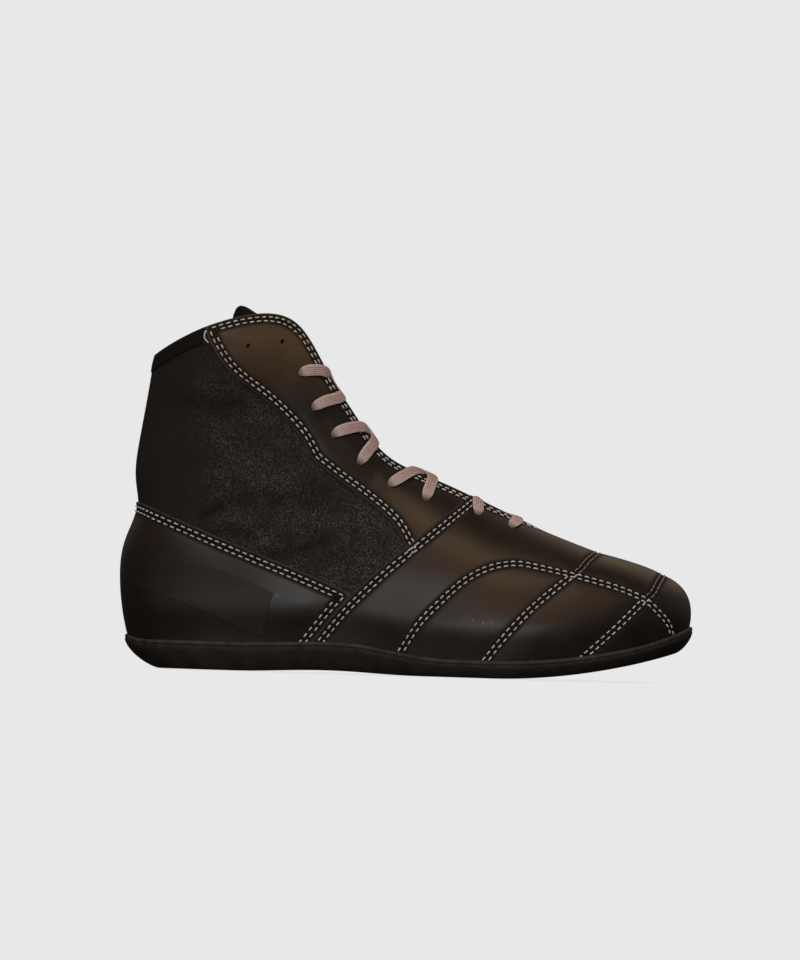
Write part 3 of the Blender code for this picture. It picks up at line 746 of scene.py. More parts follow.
def wall_height(u, line):
    """The v at which the wall at place u meets a side-view line."""
    low, high = np.zeros_like(u), np.ones_like(u)
    for _ in range(40):
        middle = (low + high) / 2
        point = FORM.face(u, middle)
        below = point[..., 2] < np.interp(point[..., 0], line[:, 0], line[:, 1])
        low, high = np.where(below, middle, low), np.where(below, high, middle)
    return middle


def share_at_height(line, side, percent):
    """The v at which a side-view line on the wall reaches a height in per cent of the shaft."""
    v = np.linspace(0.0, 1.0, WALL_POINTS)
    heights = FORM.face(wall_crossing(v, line, side), v)[:, 2]
    return np.interp(percent * SHAFT_HEIGHT / 100, heights, v)


def straight(start, stop, count=SIDE_POINTS):
    """A straight line of (u, v)."""
    return np.linspace(start, stop, count)


def offset_line(line, distance):
    """A line of (u, v) moved sideways over the face; positive is to the left, seen from outside."""
    steps = max(1, math.ceil(abs(distance)))
    for _ in range(steps):
        along = np.gradient(FORM.face(*line.T), axis=0)
        left = unit(np.cross(FORM.normal(*line.T), along))
        line = FORM.moved(line, left * distance / steps)
    return line


def trimmed(line, others, clear):
    """The part of a line that keeps clear of other lines."""
    points = FORM.face(*line.T)
    keep = np.ones(len(line), bool)
    for other in others:
        keep &= gap_to(points, FORM.face(*other.T)) >= clear
    return line[keep]


def patch_grid(bottom, top, left, right, size):
    """A grid of (u, v) that fills the space between four lines."""
    across, up = size
    b, t = resample(bottom, across), resample(top, across)
    l, r = resample(left, up), resample(right, up)
    s = np.linspace(0.0, 1.0, across)[None, :, None]
    w = np.linspace(0.0, 1.0, up)[:, None, None]
    grid = (1 - w) * b[None] + w * t[None] + (1 - s) * l[:, None] + s * r[:, None]
    grid -= (1 - w) * ((1 - s) * b[0] + s * b[-1]) + w * ((1 - s) * t[0] + s * t[-1])
    grid[..., 1] = np.clip(grid[..., 1], 0.0, 1.0)
    return grid


class Pattern:
    """The panels' sides and the seams' lines, drawn once on the last."""

    def __init__(self):
        edge = side_line(VAMP_EDGE)
        self.vamp_line = edge + [SEAM_SPACE / 2, 0.0]
        self.seam_line = edge - [SEAM_SPACE / 2, 0.0]
        self.counter_line = side_line(COUNTER_EDGE)
        shaft, instep = side_line(EYESTAY_SHAFT_EDGE), side_line(EYESTAY_INSTEP_EDGE)
        self.eyestay_line = np.vstack([shaft, instep[1:]])

    def vamp(self):
        """Bottom, top, lateral and medial side of the vamp."""
        v = np.linspace(0.0, 1.0, SIDE_POINTS)
        lateral = np.column_stack([wall_crossing(v, self.vamp_line, 1), v])
        medial = np.column_stack([wall_crossing(v, self.vamp_line, -1), v])
        return straight(lateral[0], medial[0]), straight(lateral[-1], medial[-1]), lateral, medial

    def counter(self):
        """Bottom, top, lateral and medial side of the heel counter."""
        sides = []
        for side in (1, -1):
            tip = share_at_height(self.seam_line, side, COUNTER_TIP_HEIGHT)
            v = np.linspace(0.0, tip, SHORT_POINTS)
            u = wall_crossing(v, self.seam_line, side)
            sides.append(np.column_stack([u if side > 0 else u + FORM.length, v]))
        lateral, medial = sides
        u = np.linspace(lateral[-1, 0], medial[-1, 0], LONG_POINTS)
        top = np.column_stack([u, wall_height(u, self.counter_line)])
        top[0], top[-1] = lateral[-1], medial[-1]
        return straight(lateral[0], medial[0]), top, lateral, medial

    def eyestay(self, side):
        """Outer edge, throat edge, upper back edge and vamp edge of one eyestay."""
        tip = share_at_height(self.seam_line, side, EYESTAY_TIP_HEIGHT)
        v = np.linspace(tip, 1.0, SEAM_POINTS)
        seam = np.column_stack([wall_crossing(v, self.seam_line, side), v])
        outer = np.column_stack([wall_crossing(v, self.eyestay_line, side), v])
        outer[0] = seam[0]
        bend = np.searchsorted(v, share_at_height(self.eyestay_line, side, EYESTAY_BEND_HEIGHT))
        return outer[bend::-1], straight(outer[-1], seam[-1], LONG_POINTS), outer[bend:], seam


PATTERN = Pattern()


def from_sole(points):
    """A side-view line that starts a little below the sole's rim."""
    points = np.array(points)
    return np.vstack([points[:1] - TUCKED_UNDER * unit(points[1:2] - points[:1]), points])


def both_sides(points):
    """A side-view line from the sole's rim on the lateral and on the medial face."""
    points = from_sole(points)
    return [smooth_line([FORM.locate(x, z, side) for x, z in points]) for side in (1, -1)]


def over_ridge(points, ridge_x):
    """A line from the lateral sole over the toe's ridge to the medial sole."""
    v = np.linspace(RIDGE_FROM, 1.0, LONG_POINTS)
    ridge = FORM.face(0.0, v)[:, 0]
    crown_v = np.interp(-ridge_x, -ridge, v)
    crown = FORM.face(0.0, crown_v)[:2]
    share = np.array(RIDGE_SHARES)
    halves = []
    for side in (1, -1):
        half = [FORM.locate(x, z, side) for x, z in from_sole(points)]
        shoulder = FORM.face(*half[-1])[:2]
        over = crown + np.column_stack([share**RIDGE_POWER, share]) * (shoulder - crown)
        halves.append(half + [FORM.locate(x, y, side, (0, 1)) for x, y in over])
    lateral, medial = halves
    return smooth_line(lateral + [[0.0, crown_v]] + medial[::-1])


def grid_faces(rows, count, closed=False, start=0):
    """Quads of a grid of points in rows; closed rows join their ends."""
    r, i = np.meshgrid(np.arange(rows - 1), np.arange(count if closed else count - 1), indexing="ij")
    j = (i + 1) % count
    quads = np.stack([r * count + i, r * count + j, (r + 1) * count + j, (r + 1) * count + i], axis=-1)
    return (quads.reshape(-1, 4) + start).tolist()


def tube_faces(rings, sides):
    """Faces of a tube of rings, closed at both ends."""
    last = (rings - 1) * sides
    return grid_faces(rings, sides, closed=True) + [list(range(sides)), list(range(last, last + sides))]


def into_scene(name, data):
    """A new object, linked into the scene."""
    made = bpy.data.objects.new(name, data)
    bpy.context.scene.collection.objects.link(made)
    return made


def closed_mesh(name, points, faces):
    """A mesh whose faces look outward; points are millimetres on the last."""
    mesh = bpy.data.meshes.new(name)
    mesh.from_pydata(((np.asarray(points) + OFFSET) * MM).tolist(), [], faces)
    shell = bmesh.new()
    shell.from_mesh(mesh)
    bmesh.ops.recalc_face_normals(shell, faces=shell.faces)
    shell.to_mesh(mesh)
    shell.free()
    return mesh


def add_piece(name, points, faces, finishes, slot=None, stands_for=(), values=None, finish_of_face=None):
    """A closed piece that rides on the shoe, with its finishes and the values that they read."""
    mesh = closed_mesh(name, points, faces)
    for finish in finishes:
        mesh.materials.append(finish)
    if finish_of_face is not None:
        mesh.polygons.foreach_set("material_index", finish_of_face)
    for key, value in (values or {}).items():
        kind, field = ("FLOAT", "value") if np.ndim(value) == 1 else ("FLOAT_VECTOR", "vector")
        layer = mesh.attributes.new(key, kind, "POINT")
        layer.data.foreach_set(field, np.asarray(value, np.float32).ravel())
    mesh.shade_smooth()
    mesh.set_sharp_from_angle(angle=SMOOTH_ANGLE)
    piece = into_scene(name, mesh)
    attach(piece, "root")
    if stands_for:
        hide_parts(*stands_for)
    return piece


def hole_places(side):
    """The u and v of every lace hole on one side."""
    return [FORM.locate(x, z) * [side, 1] for x, z in side_places(LACE_HOLES)]


def punch_holes(piece, medial_count):
    """Cuts the lace holes through a piece: all on the lateral side, and some on the medial side."""
    turn = 2 * math.pi * np.arange(HOLE_SIDES) / HOLE_SIDES
    points, faces = [], []
    for side, count in ((1, len(LACE_HOLES)), (-1, medial_count)):
        for number, (u, v) in enumerate(hole_places(side)[:count]):
            radius = HOLE_RADIUS if number < LACED_PAIRS else BARE_HOLE_RADIUS
            centre, out = skin(u, v), FORM.normal(u, v)
            across = unit(np.cross(out, [0.0, 0.0, 1.0]))
            circle = np.outer(np.cos(turn), across) + np.outer(np.sin(turn), np.cross(out, across))
            faces += [[len(points) + k for k in face] for face in tube_faces(2, HOLE_SIDES)]
            for depth in (-PUNCH_DEPTH, PUNCH_DEPTH):
                points += list(centre + radius * circle + depth * out)
    punches = into_scene("lace_hole_punches", closed_mesh("lace_hole_punches", points, faces))
    step = piece.modifiers.new("lace_holes", "BOOLEAN")
    step.operation = "DIFFERENCE"
    step.solver = "MANIFOLD"
    step.object = punches
    view = bpy.context.evaluated_depsgraph_get()
    before = len(piece.data.polygons)
    cut = bpy.data.meshes.new_from_object(piece.evaluated_get(view))
    piece.modifiers.clear()
    if len(cut.polygons) == before:
        raise RuntimeError(f"the lace holes were not cut in {piece.name}")
    piece.data = cut
    bpy.data.objects.remove(punches)


# Shader trees


class Wiring:
    """Adds nodes to a shader tree; a socket given as a value is linked, a number is set."""

    def __init__(self, tree):
        self.tree = tree

    def feed(self, socket, value):
        if isinstance(value, bpy.types.NodeSocket):
            self.tree.links.new(value, socket)
        else:
            socket.default_value = value

    def feed_all(self, node, inputs):
        for key, value in inputs.items():
            self.feed(node.inputs[key], value)

    def node(self, kind, inputs=None, **settings):
        made = self.tree.nodes.new(kind)
        for key, value in settings.items():
            setattr(made, key, value)
        self.feed_all(made, inputs or {})
        return made

    def maths(self, operation, *values):
        made = self.node("ShaderNodeMath", operation=operation)
        for socket, value in zip(made.inputs, values):
            self.feed(socket, value)
        return made.outputs[0]

    def blend(self, factor, low, high):
        """A colour between two."""
        made = self.node("ShaderNodeMix", {0: factor, 6: low, 7: high}, data_type="RGBA")
        return made.outputs[2]

    def remap(self, value, low, high, to_low=0.0, to_high=1.0):
        """A value moved from one range to another and held there."""
        names = ("Value", "From Min", "From Max", "To Min", "To Max")
        made = self.node("ShaderNodeMapRange", dict(zip(names, (value, low, high, to_low, to_high))))
        return made.outputs["Result"]

    def noise(self, scale, detail=2.0, vector=None):
        inputs = {"Scale": scale, "Detail": detail}
        if vector is not None:
            inputs["Vector"] = vector
        return self.node("ShaderNodeTexNoise", inputs).outputs["Fac"]

    def place(self):
        """The surface point in the shoe's own frame, in metres."""
        return self.node("ShaderNodeTexCoord").outputs["Object"]

    def ridges(self, value, pitch):
        """Rounded ridges from 0 to 1 that repeat with a pitch."""
        return self.maths("ABSOLUTE", self.maths("SINE", self.maths("MULTIPLY", value, math.pi / pitch)))

    def split(self, vector):
        """The X, Y and Z of a vector."""
        return self.node("ShaderNodeSeparateXYZ", {"Vector": vector}).outputs

    def field(self, name):
        """A named value carried by the mesh."""
        return self.node("ShaderNodeAttribute", attribute_name=name)


def shader_group(name, inputs, outputs, fill):
    """A node group, built once; fill gets its wiring and inputs and returns its outputs."""
    if name in bpy.data.node_groups:
        return bpy.data.node_groups[name]
    tree = bpy.data.node_groups.new(name, "ShaderNodeTree")
    for label, value in inputs.items():
        socket = tree.interface.new_socket(label, in_out="INPUT", socket_type="NodeSocketFloat")
        socket.default_value = value
    for label in outputs:
        tree.interface.new_socket(label, in_out="OUTPUT", socket_type="NodeSocketFloat")
    wiring = Wiring(tree)
    start, end = wiring.node("NodeGroupInput"), wiring.node("NodeGroupOutput")
    for label, socket in zip(outputs, fill(wiring, start.outputs)):
        wiring.feed(end.inputs[label], socket)
    return tree


def grain_group():
    """Fine pores and slow unevenness of smooth leather."""

    def fill(w, given):
        place = w.place()
        scale = w.maths("DIVIDE", 1.0 / MM, given["Pore Size"])
        pores = w.node("ShaderNodeTexVoronoi", {"Scale": scale, "Vector": place}, feature="SMOOTH_F1")
        fine = w.noise(w.maths("MULTIPLY", scale, 2.3), 3.0, place)
        height = w.maths("MULTIPLY_ADD", fine, 0.5, pores.outputs["Distance"])
        slow = w.noise(w.maths("MULTIPLY", scale, 0.035), 3.0, place)
        return height, slow

    return shader_group("leather_grain", {"Pore Size": 0.7}, ("Height", "Cloud"), fill)


def weave_group():
    """Twill threads crossing each other, with paler flecks painted on as glints that fade towards the heel;
    reads the cloth's own millimetres.
    """

    def fill(w, given):
        cloth = w.split(w.field("cloth").outputs["Vector"])
        a = w.maths("DIVIDE", cloth["X"], given["Thread"])
        b = w.maths("DIVIDE", cloth["Y"], given["Thread"])
        cell = w.maths("ADD", w.maths("FLOOR", a), w.maths("FLOOR", b))
        warp_on_top = w.maths("LESS_THAN", w.maths("FLOORED_MODULO", cell, 3.0), 1.5)
        warp, weft = w.ridges(a, 1.0), w.ridges(b, 1.0)
        over = w.maths("MULTIPLY", warp, warp_on_top)
        under = w.maths("MULTIPLY", weft, w.maths("SUBTRACT", 1.0, warp_on_top))
        height = w.maths("ADD", over, under)
        cells = w.node("ShaderNodeCombineXYZ", {"X": w.maths("FLOOR", a), "Y": w.maths("FLOOR", b)})
        chance = w.node("ShaderNodeTexWhiteNoise", {"Vector": cells.outputs[0]}, noise_dimensions="2D")
        clumps = w.noise(70.0, 4.0, w.place())
        forward = w.split(w.place())["X"]
        fleck = w.maths("MULTIPLY", w.remap(chance.outputs["Value"], 0.6, 1.0), height)
        fleck = w.maths("MULTIPLY", fleck, w.remap(clumps, 0.36, 0.62, 0.3, 1.0))
        # The painted glints fade towards the heel.
        fleck = w.maths("MULTIPLY", fleck, w.remap(forward, *GLINT_FADE_HEEL, 0.08, 1.0))
        return height, fleck

    return shader_group("canvas_weave", {"Thread": 0.6}, ("Height", "Fleck"), fill)


def wear_group():
    """A broken mask along worn edges; reads the mesh's own edge value."""

    def fill(w, given):
        edge = w.field("edge").outputs["Fac"]
        breaks = w.noise(w.maths("DIVIDE", 1.0 / MM, given["Patch Size"]), 3.0, w.place())
        return (w.maths("MULTIPLY", edge, w.remap(breaks, 0.3, 0.65, given["Least"], 1.0)),)

    return shader_group("worn_edge", {"Patch Size": 4.0, "Least": 0.4}, ("Mask",), fill)


def dust_group():
    """A thin film of dust that gathers towards the floor."""

    def fill(w, given):
        place = w.place()
        height = w.split(place)["Z"]
        low = w.remap(height, 0.0, given["Reach"], 1.0, 0.0)
        cloud = w.remap(w.noise(140.0, 5.0, place), 0.42, 0.7)
        return (w.maths("MULTIPLY", w.maths("MULTIPLY", low, cloud), given["Amount"]),)

    return shader_group("floor_dust", {"Reach": 0.03, "Amount": 0.3}, ("Mask",), fill)


def new_finish(name):
    """An empty material with its wiring and its Principled shader."""
    finish = bpy.data.materials.new(name)
    finish.use_nodes = True
    return finish, Wiring(finish.node_tree), finish.node_tree.nodes["Principled BSDF"]


def use_group(w, tree, **inputs):
    """Places a group in a material with its own values."""
    values = {label.replace("_", " "): value for label, value in inputs.items()}
    made = w.node("ShaderNodeGroup", node_tree=tree)
    w.feed_all(made, values)
    return made.outputs


def bump(w, height, strength, depth):
    """A normal from a height; depth is in millimetres."""
    inputs = {"Height": height, "Strength": strength, "Distance": depth * MM}
    return w.node("ShaderNodeBump", inputs).outputs["Normal"]


def opaque(colour, strength=1.0):
    """A colour with an alpha of 1."""
    return (*(strength * part for part in colour), 1.0)


def scuff_mask(w):
    """Where the leather of the outer side is scuffed."""
    here = w.split(w.place())
    mask = 0.0
    for scuff in SCUFFS:
        sizes = (
            (here["X"], scuff.x + OFFSET[0], scuff.half_x),
            (here["Z"], scuff.z, scuff.half_z),
        )
        far = 0.0
        for place, middle, half in sizes:
            off = w.maths("DIVIDE", w.maths("SUBTRACT", place, middle * MM), half * MM)
            far = w.maths("MULTIPLY_ADD", off, off, far)
        mask = w.maths("MAXIMUM", w.remap(far, 0.2, 1.0, 1.0, 0.0), mask)
    lateral = w.maths("LESS_THAN", here["Y"], 0.0)
    breaks = w.remap(w.noise(1800.0, 2.0, w.place()), 0.35, 0.6)
    return w.maths("MULTIPLY", w.maths("MULTIPLY", mask, lateral), breaks)


def leather_finish(name, colour, edge_colour, roughness, grain):
    """Smooth black satin leather with a brown undertone, a warm sheen painted near the shaft's top, painted
    shade along the seams and paler cut edges.
    """
    finish, w, shader = new_finish(name)
    pores = use_group(w, grain_group(), Pore_Size=grain)
    wear = use_group(w, wear_group(), Patch_Size=5.0, Least=0.55)["Mask"]
    dust = use_group(w, dust_group(), Reach=0.03, Amount=0.12)["Mask"]
    seam = w.field("seam").outputs["Fac"]
    # A warm brown sheen painted into the colour between two heights near the shaft's top.
    painted_sheen = w.remap(w.split(w.place())["Z"], *SHEEN_HEIGHTS)
    painted_sheen = w.maths("MULTIPLY", painted_sheen, w.remap(pores["Cloud"], 0.3, 0.6, 0.7, 1.0))
    tone = w.blend(w.remap(pores["Cloud"], 0.3, 0.7), opaque(colour, 0.75), opaque(colour, 1.25))
    tone = w.blend(painted_sheen, tone, opaque(SHEEN_BROWN))
    # Painted shade darkens the leather along the stitched rows.
    tone = w.blend(w.maths("MULTIPLY", seam, 0.9), tone, opaque(colour, 0.4))
    tone = w.blend(wear, tone, opaque(edge_colour))
    tone = w.blend(dust, tone, opaque(LEATHER_DUST))
    tone = w.blend(scuff_mask(w), tone, opaque(SCUFF_GREY))
    gloss = w.remap(pores["Cloud"], 0.3, 0.7, roughness - 0.03, roughness + 0.04)
    looks = {
        "Base Color": tone,
        "Roughness": w.maths("MULTIPLY_ADD", w.maths("MAXIMUM", wear, seam), 0.5, gloss),
        "Normal": bump(w, pores["Height"], 0.2, 0.1),
        "Specular IOR Level": 0.3,
        "Specular Tint": LEATHER_TINT,
    }
    w.feed_all(shader, looks)
    return finish


def canvas_finish(name, colour, fleck_colour, thread, strength, shine=0.2, dark_above=None):
    """Woven cloth with paler flecks painted on its threads as glints, and painted shade in its creases."""
    finish, w, shader = new_finish(name)
    weave = use_group(w, weave_group(), Thread=thread)
    tone = w.blend(w.maths("MULTIPLY", weave["Fleck"], strength), opaque(colour), opaque(fleck_colour))
    # Shade painted in the canvas's creases, read from the cloth's third value.
    cloth = w.split(w.field("cloth").outputs["Vector"])
    breaks = w.remap(w.noise(110.0, 3.0, w.place()), 0.36, 0.6, 0.35, 0.95)
    crease = w.maths("MULTIPLY", cloth["Z"], breaks)
    tone = w.blend(crease, tone, opaque(colour, 0.35))
    # Painted light: the cloth is darker above these heights, where it is lit, and lighter below, in shade.
    if dark_above:
        high = w.remap(w.split(w.place())["Z"], *dark_above)
        tone = w.blend(high, tone, opaque(colour, 0.4))
    looks = {
        "Base Color": tone,
        "Roughness": w.remap(weave["Height"], 0.0, 1.0, 0.95, 0.8),
        "Normal": bump(w, weave["Height"], 0.5, 0.18),
        "Specular IOR Level": shine,
        "Specular Tint": CLOTH_TINT,
    }
    w.feed_all(shader, looks)
    return finish


def rubber_finish(name, colour, rim_colour):
    """Matte rubber, worn paler along its rim and dusty near the floor."""
    finish, w, shader = new_finish(name)
    place = w.place()
    wear = use_group(w, wear_group(), Patch_Size=4.0, Least=0.2)["Mask"]
    dust = use_group(w, dust_group(), Reach=0.02, Amount=0.3)["Mask"]
    cloud = w.noise(60.0, 4.0, place)
    pits = w.noise(1500.0, 3.0, place)
    tone = w.blend(w.remap(cloud, 0.35, 0.65), opaque(colour, 0.8), opaque(colour, 1.2))
    tone = w.blend(wear, tone, opaque(rim_colour))
    tone = w.blend(dust, tone, opaque(RUBBER_DUST))
    looks = {
        "Base Color": tone,
        "Roughness": w.remap(pits, 0.3, 0.7, 0.62, 0.82),
        "Normal": bump(w, w.maths("MULTIPLY_ADD", cloud, 1.5, pits), 0.25, 0.15),
        "Specular IOR Level": 0.3,
        "Specular Tint": RUBBER_TINT,
    }
    w.feed_all(shader, looks)
    return finish


def lace_finish(name, colour, shade_colour, edge_colour, throat_shade_colour):
    """Flat cotton braid: plaited strands in rows with painted shade between them, a painted highlight along
    its edges, rubbed pale at the holes, painted shade over the throat and a painted shadow where it goes
    into a hole.
    """
    finish, w, shader = new_finish(name)
    braid = w.split(w.field("braid").outputs["Vector"])
    across, along, free = braid["X"], braid["Y"], braid["Z"]
    lean = w.maths("MULTIPLY_ADD", w.maths("ABSOLUTE", across), STRAND_LEAN, along)
    strands = w.ridges(lean, STRAND_PITCH)
    height = w.maths("MULTIPLY_ADD", strands, STRAND_HEIGHT, w.ridges(across, RIB_PITCH))
    fuzz = w.noise(900.0, 4.0, w.place())
    slow = w.noise(55.0, 2.0, w.place())
    depth = w.maths("MULTIPLY", w.remap(height, 0.3, 1.3), w.remap(fuzz, 0.25, 0.6, 0.6, 1.0))
    tone = w.blend(depth, opaque(shade_colour), opaque(colour))
    tone = w.blend(w.remap(slow, 0.4, 0.7, 0.0, 0.35), tone, opaque(shade_colour))
    # A highlight painted pale along the lace's edges.
    painted_sheen = w.remap(w.maths("ABSOLUTE", across), 0.6, 0.98, 0.0, 0.75)
    painted_sheen = w.maths("MULTIPLY", painted_sheen, w.remap(fuzz, 0.3, 0.55))
    tone = w.blend(painted_sheen, tone, opaque(edge_colour))
    tone = w.blend(w.remap(free, 0.1, 0.45, 0.4, 0.0), tone, opaque(edge_colour, 0.85))
    # Shade painted in a darker red-brown where the lace runs over the throat.
    painted_throat_shade = w.maths("MULTIPLY", w.remap(free, 0.6, 1.0, 0.0, 0.6), w.remap(slow, 0.35, 0.6, 0.45, 1.0))
    tone = w.blend(painted_throat_shade, tone, opaque(throat_shade_colour))
    # A shadow painted darker where the lace goes into a hole and runs inside the wall.
    tone = w.blend(w.remap(free, 0.0, 0.1, 0.7, 0.0), tone, opaque(shade_colour, 0.4))
    looks = {
        "Base Color": tone,
        "Roughness": w.remap(fuzz, 0.3, 0.7, 0.75, 0.95),
        "Normal": bump(w, w.maths("MULTIPLY_ADD", fuzz, 0.5, height), 0.7, 0.25),
        "Specular IOR Level": 0.25,
        "Sheen Weight": 0.15,
    }
    w.feed_all(shader, looks)
    return finish


def thread_finish(name, colour):
    """Waxed stitching thread with its twist."""
    finish, w, shader = new_finish(name)
    place = w.place()
    twist = w.node("ShaderNodeTexWave", {"Scale": 260.0, "Distortion": 2.0, "Vector": place})
    cloud = w.noise(350.0, 2.0, place)
    tone = w.blend(w.remap(cloud, 0.3, 0.7), opaque(colour, 0.7), opaque(colour, 1.08))
    looks = {
        "Base Color": tone,
        "Roughness": w.remap(cloud, 0.3, 0.7, 0.5, 0.75),
        "Normal": bump(w, twist.outputs["Fac"], 0.4, 0.1),
    }
    w.feed_all(shader, looks)
    return finish


# Pieces


def edge_ring(points, normals, inner):
    """Outward directions along a closed boundary, lying in the surface."""
    along = unit(np.roll(points, -1, axis=0) - np.roll(points, 1, axis=0))
    side = unit(np.cross(along, normals))
    return side if np.sum((points - inner) * side) > 0 else -side


def sheet_piece(name, grid, out, back_out, round_edge, finishes, seam=None, **rest):
    """A closed sheet on the last: a worked face, a rounded edge and a flat back."""
    rows, count = grid.shape[:2]
    u, v = grid[..., 0], grid[..., 1]
    face, back = skin(u, v, out), skin(u, v, back_out)
    index = np.arange(rows * count).reshape(rows, count)
    loop = np.concatenate([index[0], index[1:, -1], index[-1, -2::-1], index[-2:0:-1, 0]])
    ring_in = np.pad(index[1:-1, 1:-1], 1, mode="edge").ravel()[loop]
    flat, under = face.reshape(-1, 3), back.reshape(-1, 3)
    normals = FORM.normal(u, v).reshape(-1, 3)[loop]
    side = edge_ring(flat[loop], normals, flat[ring_in])
    rings = []
    for turn in EDGE_TURNS:
        rings.append(flat[loop] + round_edge * (math.sin(turn) * side - (1 - math.cos(turn)) * normals))
    rings.append(under[loop] + round_edge * side)
    count_all, edge = rows * count, len(loop)
    points = np.vstack([flat, under] + rings)
    faces = grid_faces(rows, count) + grid_faces(rows, count, start=count_all)
    between = [2 * count_all + k * edge + np.arange(edge) for k in range(len(rings))]
    chain = [loop] + between + [loop + count_all]
    for a, b in zip(chain, chain[1:]):
        faces += np.stack([a, np.roll(a, -1), np.roll(b, -1), b], axis=1).tolist()
    worn = np.zeros(len(points))
    worn[2 * count_all :] = 1.0
    # The seam value is painted shade along the stitched rows.
    near = np.zeros(count_all) if seam is None else seam.ravel()
    near = np.concatenate([near, near] + [near[loop]] * len(rings))
    return add_piece(name, points, faces, finishes, values={"edge": worn, "seam": near}, **rest)


class LeatherPanel:
    """A leather panel with its stitched lines."""

    def __init__(self, name, sides, size, thick, seams):
        self.name = name
        self.thick = thick
        self.grid = patch_grid(*sides, size)
        self.seam_points = np.vstack([FORM.face(*resample(line, SEAM_POINTS).T) for line in seams])

    def seam_gap(self, u, v):
        """Distance to the middle of the nearest seam."""
        return gap_to(FORM.face(u, v), self.seam_points).reshape(np.shape(u))

    def out(self, u, v):
        """How far the panel's face stands off the last: quilted, with a trough under each seam."""
        near = self.seam_gap(u, v)
        puff = PUFF * (1.0 - np.exp(-((near / PUFF_REACH) ** 2)))
        base = FORM.face(u, v)
        rise = base[..., 2] - rim_height(base[..., 0]) - SWELL_HEIGHT
        sideways = FORM.normal(u, v)[..., 1] ** 2
        puff = puff + SIDE_SWELL * sideways * np.exp(-((rise / SWELL_HALF) ** 2))
        return BACK_GAP + self.thick + puff - TROUGH * np.exp(-((near / TROUGH_HALF) ** 2))

    def seam_shade(self, u, v):
        """Painted shade: 1 along the stitched rows, fading to 0 beside them."""
        beside = np.maximum(self.seam_gap(u, v) - SEAM_HALF, 0.0)
        return np.exp(-((beside / SEAM_SHADE) ** 2))

    def build(self, finish, punched):
        """The panel's mesh, with the lace holes where it is punched."""
        u, v = self.grid[..., 0], self.grid[..., 1]
        piece = sheet_piece(
            f"{self.name}_leather", self.grid, self.out(u, v), BACK_GAP, EDGE_ROUND, [finish],
            seam=self.seam_shade(u, v), slot="leather", stands_for=[self.name],
        )
        if punched:
            punch_holes(piece, len(LACE_HOLES))
        return piece


StitchRow = namedtuple("StitchRow", "panel line shift worn_above")


